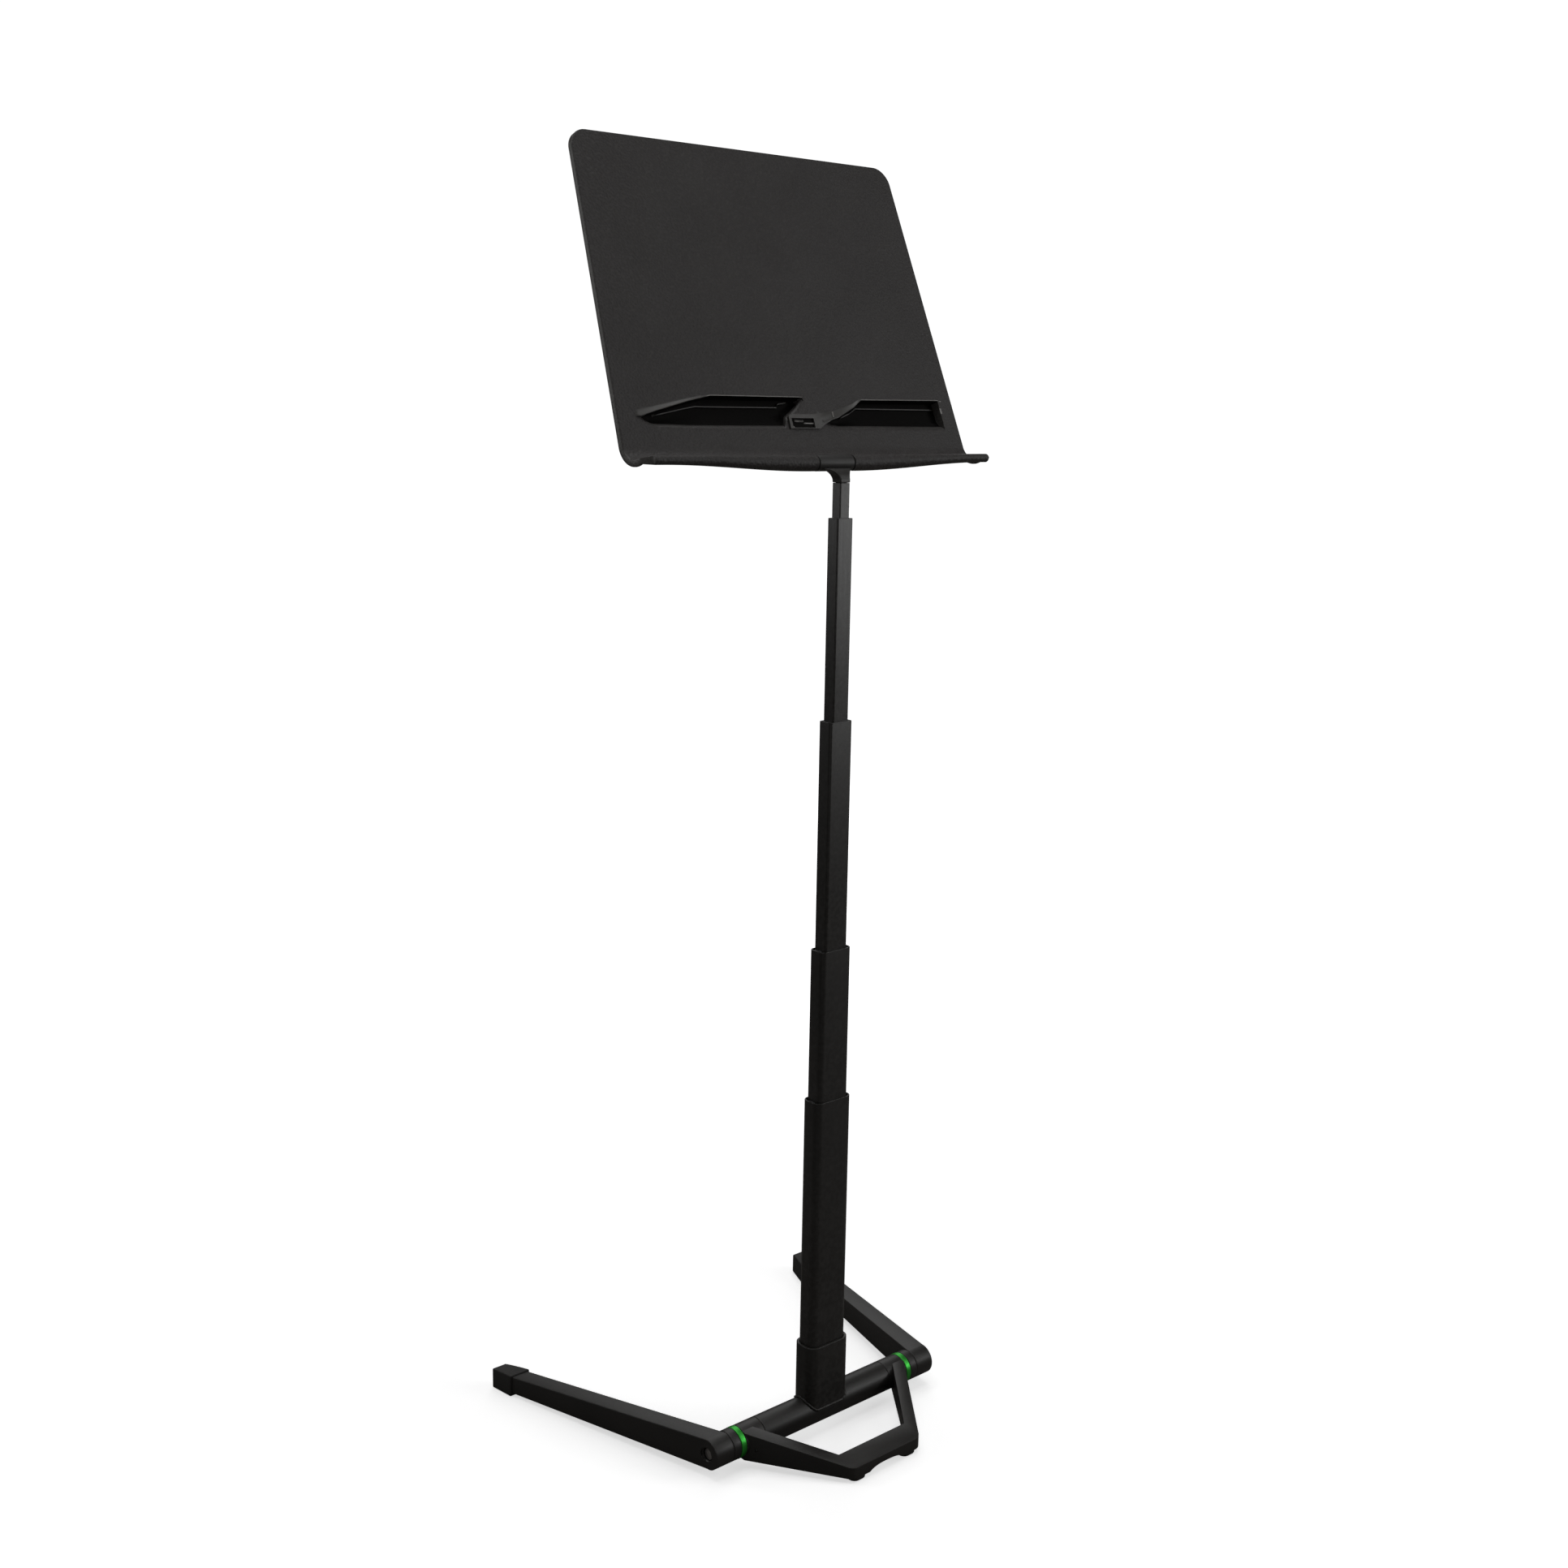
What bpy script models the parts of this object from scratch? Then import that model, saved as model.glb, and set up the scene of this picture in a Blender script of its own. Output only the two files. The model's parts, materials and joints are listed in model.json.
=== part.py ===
"""Folding music stand: tray on a tilting hinge, five-section mast, cross tube base with two legs and a front foot.

World frame: X runs along the cross tube and across the tray, the player stands at -Y, +Z is up. The origin is on the
floor under the middle of the stand's own footprint. Metres throughout.
"""
import math

import bmesh
import bpy
from mathutils import Vector

# ---------------------------------------------------------------- general
GAP = 0.0003                # clearance between pieces that touch or slide
ROUND_STEPS = 28            # segments of a full circle on visible round pieces
SMALL_STEPS = 16            # segments of a full circle on small hidden pieces

# ---------------------------------------------------------------- base
TUBE_RADIUS = 0.0168        # cross tube, collars, rings and hubs share it
TUBE_WALL = 0.0018
TUBE_HALF = 0.0915          # half length of the cross tube
AXLE_HEIGHT = 0.0264        # cross tube axis above the floor
AXLE_RADIUS = 0.0045
AXLE_THREAD_DEPTH = 0.010
COLLAR_LENGTH = 0.0264
RING_LENGTH = 0.0067
RING_WALL = 0.0040
HUB_LENGTH = 0.0342
HUB_END_WALL = 0.0040       # web that the end screw clamps
RECESS_RADIUS = 0.0070
RECESS_DEPTH = 0.0058
BUSH_WALL = 0.0036
PLUG_LENGTH = 0.0100
SCREW_HEAD_RADIUS = 0.0060
SCREW_HEAD_LENGTH = 0.0036
SCREW_RADIUS = 0.0030

# ---------------------------------------------------------------- legs
LEG_REACH = 0.2750          # bar length measured along Y
LEG_SPLAY = 0.2663          # sideways run of the outer face for each metre along Y
LEG_ROOT_WIDTH = 0.0245
LEG_TIP_WIDTH = 0.0214
LEG_TOP_FALL = 0.0740       # drop of the top face for each metre along Y
LEG_UNDER_FALL = 0.0231
CAP_OVERLAP = 0.009         # how far the cap reaches over the bar
CAP_LENGTH = 0.031
CAP_PROUD = 0.0022
CAP_TOP_PROUD = 0.0018
CAP_OUTER_SPLAY = 0.145
CAP_INNER_SPLAY = 0.400
CAP_TOP_FALL = 0.0645

# ---------------------------------------------------------------- front foot
FOOT_REACH = 0.1073         # front face from the cross tube axis
FOOT_BAR_DEPTH = 0.0237     # front bar, front to back
FOOT_HALF_INNER = 0.0484    # half width of the opening at the front bar
FOOT_ARM_WIDTH = 0.0140     # width of an arm, square to its length
FOOT_ROOT_WIDTH = 0.00964   # arm's inner edge from the collar's outer end, at the cross tube
FOOT_TOP_FALL = 0.2415      # drop of the top face for each metre forward
FOOT_UNDER_FALL = 0.0455
FOOT_CORNER = 0.0120
ARCH_HALF = 0.0215
ARCH_HEIGHT = 0.0085
ARCH_CORNER = 0.0060
PAD_INSET = 0.0012
PAD_WIDTH = 0.0205
PAD_DEPTH = 0.0215
PAD_CORNER = 0.0075

# ---------------------------------------------------------------- mast, outermost section first
SECTION_WIDTHS = (0.0503, 0.0418, 0.0306, 0.0206, 0.0126)
SECTION_DEPTHS = (0.0255, 0.0219, 0.0183, 0.0154, 0.0124)
SECTION_CORNERS = (0.0080, 0.0060, 0.0030, 0.0015, 0.0010)
SECTION_WALLS = (0.0016, 0.0015, 0.0012, 0.0012, 0.0012)
SECTION_LENGTHS = (0.3385, 0.325, 0.320, 0.315, 0.310)
SECTION_TOPS = (0.3862, 0.5514, 0.7930, 0.9983, 1.0330)
GUIDE_LENGTH = 0.025
GUIDE_INSET = 0.0005
PLUG_PLATE = 0.0060
PLUG_STUB = 0.0060
SOCKET_WALL = 0.0031
SOCKET_TOP = 0.1060
SOCKET_FLOOR = 0.0022

# ---------------------------------------------------------------- tilting head and tray
HINGE_BACK = 0.0135         # hinge axis behind the mast axis
HINGE_HEIGHT = 1.0520
KNUCKLE_RADIUS = 0.0082
HINGE_AXLE_RADIUS = 0.0040
HINGE_AXLE_HALF = 0.0410
BARREL_HALF = 0.0232
WASHER_THICKNESS = 0.0008
YOKE_HALF = 0.0200
NECK_STUB = 0.0200
TRAY_LEAN = 21.0            # degrees that the plate leans back
TRAY_WIDTH = 0.4590
TRAY_TOP_WIDTH = 0.4190
TRAY_HEIGHT = 0.3467        # plate's top edge from the hinge axis, along the plate
TRAY_CORNER = 0.0190
PLATE_OFFSET = 0.0317       # plate's front face behind the hinge axis
PANEL = 0.0040
RIM_DEPTH = 0.0068
RIM_WIDTH = 0.0030
FOLD_RADIUS = 0.0180
LIP_FALL = 8.0              # degrees that the lip falls away from square to the plate
LIP_INSET = 0.0065          # each end of the lip's free edge stops short of the tray's side
BEAD_RADIUS = 0.0045        # lip's free edge at the tray's sides
BEAD_REACH = 0.0059         # lip's free edge in front of the hinge axis at the sides
BEAD_FLAT = 0.030           # half length over which the lip keeps the knuckle's radius
HINGE_NOTCH_BACK = 0.0340

# ---------------------------------------------------------------- pockets in the plate
SLOT_TOP = 0.0800
SLOT_BOTTOM = 0.0522
SLOT_SHOULDER = 0.0610
LEFT_SLOT = {"tip": -0.2030, "bend": -0.1125, "top_end": 0.0080, "end": -0.0190}
RIGHT_SLOT = {"tip": 0.0310, "bend": 0.0910, "top_end": 0.2070, "end": 0.2070}
WINDOW = (-0.0085, 0.0180, 0.0475, 0.0595)   # low x, high x, low and high along the plate
HOUSING_HALF = 0.2110
HOUSING_LOW = 0.0430
HOUSING_HIGH = 0.0880
HOUSING_DEPTH = 0.0120
HOUSING_WALL = 0.0016
HOUSING_SCREW_X = (-0.195, -0.065, 0.065, 0.195)
HOUSING_SCREW_UP = (0.0470, 0.0840)

# ---------------------------------------------------------------- places worked out from the sizes
COLLAR_START = TUBE_HALF + GAP
RING_START = COLLAR_START + COLLAR_LENGTH + GAP
HUB_START = RING_START + RING_LENGTH + GAP
HUB_END = HUB_START + HUB_LENGTH
CAP_START = LEG_REACH - CAP_OVERLAP
FOOTPRINT_BACK = CAP_START + CAP_LENGTH
BASE_Y = (FOOT_REACH - FOOTPRINT_BACK) / 2
SECTION_COUNT = len(SECTION_WIDTHS)


# ================================================================ materials and scene helpers
def material(name, colour, roughness, metallic=0.0):
    """A Principled material with the given colour, roughness and metallic value."""
    made = bpy.data.materials.new(name)
    made.use_nodes = True
    shader = made.node_tree.nodes["Principled BSDF"]
    shader.inputs["Base Color"].default_value = (*colour, 1.0)
    shader.inputs["Roughness"].default_value = roughness
    shader.inputs["Metallic"].default_value = metallic
    made.diffuse_color = (*colour, 1.0)
    return made


def pivot(name, location, lean=0.0, parent=None):
    """An empty on a joint's axis, turned back by lean degrees about X."""
    empty = bpy.data.objects.new(name, None)
    empty.location = location
    empty.rotation_euler = (-math.radians(lean), 0.0, 0.0)
    empty.parent = parent
    bpy.context.scene.collection.objects.link(empty)
    return empty


def make_object(name, vertices, faces, finish, parent, smooth_angle=None):
    """One closed mesh object with its faces pointing out, hung on a pivot."""
    mesh = bpy.data.meshes.new(name)
    mesh.from_pydata([tuple(v) for v in vertices], [], faces)
    work = bmesh.new()
    work.from_mesh(mesh)
    bmesh.ops.recalc_face_normals(work, faces=work.faces)
    work.to_mesh(mesh)
    work.free()
    if smooth_angle:
        mesh.shade_smooth()
        mesh.set_sharp_from_angle(angle=math.radians(smooth_angle))
    made = bpy.data.objects.new(name, mesh)
    made.parent = parent
    bpy.context.scene.collection.objects.link(made)
    if finish:
        mesh.materials.append(finish)
    return made


def boolean(target, tool, operation):
    """Join a hidden tool object to the target, or cut it away."""
    step = target.modifiers.new(operation.lower(), "BOOLEAN")
    step.operation = operation
    step.object = tool
    step.solver = "EXACT"
    tool.hide_render = True
    tool.display_type = "WIRE"
    return target


# ================================================================ shapes
def loft(rings):
    """Vertices and faces of a solid through rings of equal length, closed at both ends."""
    count = len(rings[0])
    vertices = [point for ring in rings for point in ring]
    faces = []
    for row in range(len(rings) - 1):
        for i in range(count):
            j = (i + 1) % count
            faces.append((row * count + i, row * count + j, (row + 1) * count + j, (row + 1) * count + i))
    faces.append(tuple(range(count))[::-1])
    faces.append(tuple((len(rings) - 1) * count + i for i in range(count)))
    return vertices, faces


def closed_loft(rings):
    """Vertices and faces of a ring-shaped solid: the last ring joins the first."""
    count = len(rings[0])
    vertices = [point for ring in rings for point in ring]
    faces = []
    for row in range(len(rings)):
        after = (row + 1) % len(rings)
        for i in range(count):
            j = (i + 1) % count
            faces.append((row * count + i, row * count + j, after * count + j, after * count + i))
    return vertices, faces


def rounded_rectangle(width, depth, radius, z, steps=5):
    """Points of a level rounded rectangle about the mast axis."""
    points = []
    for quarter, (side, front) in enumerate(((1, 1), (-1, 1), (-1, -1), (1, -1))):
        for step in range(steps + 1):
            angle = (quarter + step / steps) * math.pi / 2
            points.append((side * (width / 2 - radius) + radius * math.cos(angle),
                           front * (depth / 2 - radius) + radius * math.sin(angle), z))
    return points


def circle_x(x, radius, steps):
    """Points of a circle about the X axis at one place along it."""
    return [(x, radius * math.cos(2 * math.pi * k / steps), radius * math.sin(2 * math.pi * k / steps))
            for k in range(steps)]


def rod(name, start, end, radius, finish, parent, steps=SMALL_STEPS):
    """A solid cylinder along X."""
    vertices, faces = loft([circle_x(start, radius, steps), circle_x(end, radius, steps)])
    return make_object(name, vertices, faces, finish, parent, 30)


def sleeve(name, start, end, outer, inner, finish, parent, steps=ROUND_STEPS, edge=0.0):
    """A hollow cylinder along X whose outer corners are broken by edge."""
    start, end = min(start, end), max(start, end)
    rings = [circle_x(start, inner, steps), circle_x(start, outer - edge, steps)]
    if edge:
        rings += [circle_x(start + edge, outer, steps), circle_x(end - edge, outer, steps)]
    rings += [circle_x(end, outer - edge, steps), circle_x(end, inner, steps)]
    vertices, faces = closed_loft(rings)
    return make_object(name, vertices, faces, finish, parent, 30)


def stepped_rod(name, profile, finish, parent, steps=SMALL_STEPS):
    """A turned solid along X through (place, radius) pairs."""
    vertices, faces = loft([circle_x(x, radius, steps) for x, radius in profile])
    return make_object(name, vertices, faces, finish, parent, 30)


def prism(name, outline, low, high, finish, parent):
    """A plan outline carried from the height low(x, y) up to high(x, y)."""
    rings = [[(x, y, level(x, y)) for x, y in outline] for level in (low, high)]
    vertices, faces = loft(rings)
    return make_object(name, vertices, faces, finish, parent)


def arc(centre, radius, start, end, steps):
    """Points of a plan arc between two angles in degrees."""
    return [(centre[0] + radius * math.cos(math.radians(start + (end - start) * k / steps)),
             centre[1] + radius * math.sin(math.radians(start + (end - start) * k / steps)))
            for k in range(steps + 1)]


def mirrored(outline, side):
    """The same plan outline on the left (side -1) or the right (side 1)."""
    return [(side * x, y) for x, y in outline]


# ================================================================ base
def build_cross_tube(base, paint, steel, plastic):
    """The painted tube, the rod through it and the plastic plugs that centre the rod."""
    sleeve("cross_tube", -TUBE_HALF, TUBE_HALF, TUBE_RADIUS, TUBE_RADIUS - TUBE_WALL, paint, base, edge=0.0004)
    rod_end = HUB_END - RECESS_DEPTH - HUB_END_WALL - GAP
    axle = rod("axle_rod", -rod_end, rod_end, AXLE_RADIUS, steel, base)
    for side, word in ((-1, "left"), (1, "right")):
        thread = rod("thread_" + word, side * (rod_end - AXLE_THREAD_DEPTH), side * (rod_end + GAP),
                     SCREW_RADIUS + GAP, None, base)
        boolean(axle, thread, "DIFFERENCE")
        sleeve("tube_plug_" + word, side * (TUBE_HALF - PLUG_LENGTH), side * TUBE_HALF,
               TUBE_RADIUS - TUBE_WALL - GAP, AXLE_RADIUS + GAP, plastic, base, SMALL_STEPS)
        shank_end = rod_end - AXLE_THREAD_DEPTH + GAP
        head_start = HUB_END - RECESS_DEPTH + GAP
        stepped_rod("axle_screw_" + word,
                    [(side * shank_end, SCREW_RADIUS), (side * head_start, SCREW_RADIUS),
                     (side * head_start, SCREW_HEAD_RADIUS),
                     (side * (head_start + SCREW_HEAD_LENGTH), SCREW_HEAD_RADIUS)], steel, base)


def build_rings(base, green, steel):
    """The two bright rings between collar and hub, and the toothless lock discs inside them."""
    for side, word in ((-1, "left"), (1, "right")):
        start, end = side * RING_START, side * (RING_START + RING_LENGTH)
        sleeve("ring_" + word, start, end, TUBE_RADIUS + 0.0002, TUBE_RADIUS - RING_WALL, green, base, edge=0.0005)
        sleeve("lock_disc_" + word, start, end, TUBE_RADIUS - RING_WALL - GAP, AXLE_RADIUS + GAP, steel, base,
               SMALL_STEPS)


def build_socket(base, paint):
    """The sleeve saddled on the cross tube that holds the outermost mast section."""
    width = SECTION_WIDTHS[0] + 2 * (SOCKET_WALL + GAP)
    depth = SECTION_DEPTHS[0] + 2 * (SOCKET_WALL + GAP)
    corner = SECTION_CORNERS[0] + SOCKET_WALL + GAP
    top = SOCKET_TOP - AXLE_HEIGHT
    floor = TUBE_RADIUS + GAP + SOCKET_FLOOR
    vertices, faces = loft([rounded_rectangle(width, depth, corner, 0.0),
                            rounded_rectangle(width, depth, corner, top)])
    socket = make_object("base_socket", vertices, faces, paint, base, 40)
    inner = [rounded_rectangle(width - 2 * SOCKET_WALL, depth - 2 * SOCKET_WALL, corner - SOCKET_WALL, z)
             for z in (floor, top + GAP)]
    vertices, faces = loft(inner)
    boolean(socket, make_object("socket_hollow", vertices, faces, None, base), "DIFFERENCE")
    boolean(socket, rod("socket_saddle", -width, width, TUBE_RADIUS + GAP, None, base, ROUND_STEPS), "DIFFERENCE")
    return floor + AXLE_HEIGHT


# ================================================================ legs
def leg_outline(start, end, grow=0.0):
    """Plan outline of a right-hand leg bar between two places along Y."""
    def outer(y):
        return HUB_END + LEG_SPLAY * y + grow

    def inner(y):
        width = LEG_ROOT_WIDTH + (LEG_TIP_WIDTH - LEG_ROOT_WIDTH) * y / LEG_REACH
        return HUB_END + LEG_SPLAY * y - width - grow

    return [(outer(start), start), (outer(end), end), (inner(end), end), (inner(start), start)]


def leg_top(x, y):
    """Height of a leg's top face above the hub axis."""
    return TUBE_RADIUS - LEG_TOP_FALL * y


def leg_under(x, y):
    """Height of a leg's lower face above the hub axis."""
    return -TUBE_RADIUS - LEG_UNDER_FALL * y


def build_leg(side, word, hinge, paint, rubber, plastic):
    """One leg: hub and bar in one piece, its bush and the rubber cap on its end."""
    leg = rod("leg_" + word, side * HUB_START, side * HUB_END, TUBE_RADIUS, paint, hinge, ROUND_STEPS)
    bar = prism("leg_bar_" + word, mirrored(leg_outline(0.0008, LEG_REACH), side), leg_under, leg_top, None, hinge)
    boolean(leg, bar, "UNION")
    bush_end = HUB_END - RECESS_DEPTH - HUB_END_WALL
    bush_outer = AXLE_RADIUS + GAP + BUSH_WALL
    for tool, start, end, radius in (("bush_bore_", HUB_START - GAP, bush_end, bush_outer + GAP),
                                     ("screw_hole_", bush_end - GAP, HUB_END, SCREW_RADIUS + GAP),
                                     ("recess_", HUB_END - RECESS_DEPTH, HUB_END + GAP, RECESS_RADIUS)):
        boolean(leg, rod(tool + word, side * start, side * end, radius, None, hinge, SMALL_STEPS), "DIFFERENCE")
    sleeve("leg_bush_" + word, side * HUB_START, side * (bush_end - GAP), bush_outer, AXLE_RADIUS + GAP, plastic,
           hinge, SMALL_STEPS)
    build_leg_cap(side, word, hinge, rubber)


def build_leg_cap(side, word, hinge, rubber):
    """A tapered rubber cap pushed over the bar's end, standing on the floor."""
    bar = leg_outline(CAP_START, LEG_REACH)
    outer, inner = bar[0][0] + CAP_PROUD, bar[3][0] - CAP_PROUD
    end = CAP_START + CAP_LENGTH
    outline = [(outer, CAP_START), (outer + CAP_OUTER_SPLAY * CAP_LENGTH, end),
               (inner + CAP_INNER_SPLAY * CAP_LENGTH, end), (inner, CAP_START)]
    root_top = leg_top(0.0, CAP_START) + CAP_TOP_PROUD

    def cap_top(x, y):
        return root_top - CAP_TOP_FALL * (y - CAP_START)

    cap = prism("leg_cap_" + word, mirrored(outline, side), lambda x, y: -AXLE_HEIGHT, cap_top, rubber, hinge)
    hollow = mirrored(leg_outline(CAP_START - GAP, LEG_REACH + GAP, GAP), side)
    cut = prism("cap_hollow_" + word, hollow, lambda x, y: leg_under(x, y) - GAP,
                lambda x, y: leg_top(x, y) + GAP, None, hinge)
    boolean(cap, cut, "DIFFERENCE")


# ================================================================ front foot
def foot_top(x, y):
    """Height of the foot's top face above the cross tube axis."""
    return TUBE_RADIUS + FOOT_TOP_FALL * y


def foot_under(x, y):
    """Height of the foot's lower face above the cross tube axis."""
    return -TUBE_RADIUS + FOOT_UNDER_FALL * y


def build_foot(hinge, paint, rubber, steel):
    """The trapezoid frame with its two collars, and the rubber pads under its front corners."""
    inner_y = -(FOOT_REACH - FOOT_BAR_DEPTH)
    root_y = -0.0008
    side_limit = COLLAR_START + COLLAR_LENGTH
    run = (side_limit - FOOT_ROOT_WIDTH - FOOT_HALF_INNER) / (root_y - inner_y)
    lean = math.atan(run)
    arm_across = FOOT_ARM_WIDTH / math.cos(lean)

    def inner_x(y):
        return FOOT_HALF_INNER + (y - inner_y) * run

    def outer_x(y):
        return inner_x(y) + arm_across

    meet_y = inner_y + (side_limit - arm_across - FOOT_HALF_INNER) / run
    corner_turn = 90.0 - math.degrees(lean)
    corner_x = outer_x(-FOOT_REACH) - FOOT_CORNER * math.tan(math.radians(corner_turn / 2))
    corner_centre = (corner_x, -FOOT_REACH + FOOT_CORNER)
    half = [(inner_x(root_y), root_y), (side_limit, root_y), (side_limit, meet_y)]
    half += arc(corner_centre, FOOT_CORNER, -math.degrees(lean), -90.0, 6)
    half_back = [(FOOT_HALF_INNER, inner_y)]
    outline = half + [(-x, y) for x, y in reversed(half)] + [(-x, y) for x, y in half_back] + half_back
    foot = prism("front_foot", outline, foot_under, foot_top, paint, hinge)
    for side, word in ((-1, "left"), (1, "right")):
        start, end = side * COLLAR_START, side * (COLLAR_START + COLLAR_LENGTH)
        boolean(foot, rod("collar_" + word, start, end, TUBE_RADIUS, None, hinge, ROUND_STEPS), "UNION")
        bore = rod("collar_bore_" + word, start - side * GAP, end + side * GAP, AXLE_RADIUS + GAP, None, hinge)
        boolean(foot, bore, "DIFFERENCE")
    arch_top = ARCH_HEIGHT - AXLE_HEIGHT
    arch = [(ARCH_HALF + ARCH_CORNER, -AXLE_HEIGHT), (ARCH_HALF, arch_top - ARCH_CORNER * 0.4),
            (ARCH_HALF - ARCH_CORNER, arch_top)]
    arch = arch + [(-x, z) for x, z in reversed(arch)]
    rings = [[(x, y, z) for x, z in arch] for y in (-FOOT_REACH - FOOT_BAR_DEPTH, inner_y + FOOT_BAR_DEPTH)]
    vertices, faces = loft(rings)
    boolean(foot, make_object("foot_arch", vertices, faces, None, hinge), "DIFFERENCE")
    for side, word in ((-1, "left"), (1, "right")):
        build_foot_pad(side, word, hinge, rubber)
        build_set_screw(side, word, hinge, foot, steel, outer_x)


def build_foot_pad(side, word, hinge, rubber):
    """A rubber block under a front corner of the foot."""
    centre_x = ARCH_HALF + ARCH_CORNER + PAD_WIDTH / 2 - PAD_INSET
    centre_y = -FOOT_REACH + PAD_INSET + PAD_DEPTH / 2
    outline = []
    for sign_x, sign_y, start in ((1, 1, 0), (-1, 1, 90), (-1, -1, 180), (1, -1, 270)):
        corner = (centre_x + sign_x * (PAD_WIDTH / 2 - PAD_CORNER), centre_y + sign_y * (PAD_DEPTH / 2 - PAD_CORNER))
        outline += arc(corner, PAD_CORNER, start, start + 90, 4)
    prism("foot_pad_" + word, mirrored(outline, side), lambda x, y: -AXLE_HEIGHT,
          lambda x, y: foot_under(x, y) - GAP, rubber, hinge)


def build_set_screw(side, word, hinge, foot, steel, outer_x):
    """A small screw in the side of each arm, close to the collar."""
    y = -0.0215
    z = -0.0035
    depth = 0.0060
    radius = 0.0021
    tip = outer_x(y) - depth
    hole = rod("set_screw_hole_" + word, side * tip, side * (outer_x(y) + depth), radius + GAP, None, hinge)
    screw = rod("set_screw_" + word, side * (tip + GAP), side * (outer_x(y) + 0.0006), radius, steel, hinge)
    for piece in (hole, screw):
        piece.location = (0.0, y, z)
    boolean(foot, hole, "DIFFERENCE")


# ================================================================ mast
def section_rings(index, shrink, levels):
    """Rounded rectangles of one mast section, made smaller all round by shrink."""
    width = SECTION_WIDTHS[index] - 2 * shrink
    depth = SECTION_DEPTHS[index] - 2 * shrink
    corner = max(SECTION_CORNERS[index] - shrink, 0.0003)
    return [rounded_rectangle(width, depth, corner, z) for z in levels]


def build_section(index, parent, floor, paint, plastic):
    """One mast tube, its two guide blocks at the top and, on the moving sections, the plug at its lower end."""
    number = str(index + 1)
    top = SECTION_TOPS[index]
    bottom = top - SECTION_LENGTHS[index]
    base = parent.matrix_world.translation.z
    if index == 0:
        bottom = floor + GAP
    outer = section_rings(index, 0.0, (bottom - base, top - base))
    inner = section_rings(index, SECTION_WALLS[index], (top - base, bottom - base))
    vertices, faces = closed_loft(outer + inner)
    make_object("mast_section_" + number, vertices, faces, paint, parent, 40)
    if index < SECTION_COUNT - 1:
        build_guides(index, parent, top - base, plastic)
    if index > 0:
        build_plug(index, parent, bottom - base, plastic)


def build_guides(index, parent, top, plastic):
    """The pair of plastic blocks that keep the next section central in this one."""
    inside = SECTION_WIDTHS[index] / 2 - SECTION_WALLS[index] - GAP
    outside = SECTION_WIDTHS[index + 1] / 2 + GAP
    half_depth = (SECTION_DEPTHS[index] / 2 - SECTION_CORNERS[index]) * 0.98
    for side, word in ((-1, "left"), (1, "right")):
        outline = [(side * x, y) for x, y in ((outside, -half_depth), (inside, -half_depth),
                                              (inside, half_depth), (outside, half_depth))]
        prism("guide_" + word + "_" + str(index + 1), outline, lambda x, y: top - GUIDE_LENGTH,
              lambda x, y: top - GUIDE_INSET, plastic, parent)


def build_plug(index, parent, bottom, plastic):
    """The stepped plug in a section's lower end, which runs inside the section around it."""
    running = section_rings(index - 1, SECTION_WALLS[index - 1] + GAP, (bottom - GAP - PLUG_PLATE, bottom - GAP))
    stub = section_rings(index, SECTION_WALLS[index] + GAP, (bottom - GAP, bottom + PLUG_STUB))
    vertices, faces = loft(running + stub)
    make_object("section_plug_" + str(index + 1), vertices, faces, plastic, parent, 40)


def build_mast(stand, base, floor, paint, plastic):
    """All five sections, each on a pivot at its own top; returns the top section's pivot."""
    build_section(0, base, floor, paint, plastic)
    parent = None
    for index in range(1, SECTION_COUNT):
        parent = pivot("slide_" + str(index + 1), (0.0, 0.0, SECTION_TOPS[index]), parent=stand)
        bpy.context.view_layer.update()
        build_section(index, parent, floor, paint, plastic)
    return parent


# ================================================================ head
def build_head(parent, paint):
    """The casting on top of the mast: stub, neck, fanned yoke and the hinge barrel."""
    last = SECTION_COUNT - 1
    axis_up = HINGE_HEIGHT - SECTION_TOPS[last]
    neck = (SECTION_WIDTHS[last] + 0.0008, SECTION_DEPTHS[last] + 0.0008, 0.0014)
    stub_width = SECTION_WIDTHS[last] - 2 * (SECTION_WALLS[last] + GAP)
    stub_depth = SECTION_DEPTHS[last] - 2 * (SECTION_WALLS[last] + GAP)
    yoke_top = axis_up - KNUCKLE_RADIUS * 0.5
    rings = [rounded_rectangle(stub_width, stub_depth, 0.0008, -NECK_STUB),
             rounded_rectangle(stub_width, stub_depth, 0.0008, GAP),
             rounded_rectangle(*neck, GAP), rounded_rectangle(*neck, GAP + 0.0030)]
    fan_steps = 6
    for step in range(1, fan_steps + 1):
        share = step / fan_steps
        flare = 1.0 - math.cos(share * math.pi / 2)
        z = GAP + 0.0030 + (yoke_top - GAP - 0.0030) * math.sin(share * math.pi / 2)
        width = neck[0] + (2 * YOKE_HALF - neck[0]) * flare
        depth = neck[1] + (KNUCKLE_RADIUS * 1.5 - neck[1]) * flare
        back = HINGE_BACK * (0.35 * share + 0.65 * flare)
        rings.append([(x, y + back, z) for x, y, _ in rounded_rectangle(width, depth, neck[2], z)])
    vertices, faces = loft(rings)
    head = make_object("hinge_head", vertices, faces, paint, parent, 35)
    for name, radius, half, operation in (("barrel", KNUCKLE_RADIUS, BARREL_HALF, "UNION"),
                                          ("barrel_bore", HINGE_AXLE_RADIUS + GAP, 2 * BARREL_HALF, "DIFFERENCE")):
        tool = rod(name, -half, half, radius, None, parent, ROUND_STEPS if operation == "UNION" else SMALL_STEPS)
        tool.location = (0.0, HINGE_BACK, axis_up)
        boolean(head, tool, operation)


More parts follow.
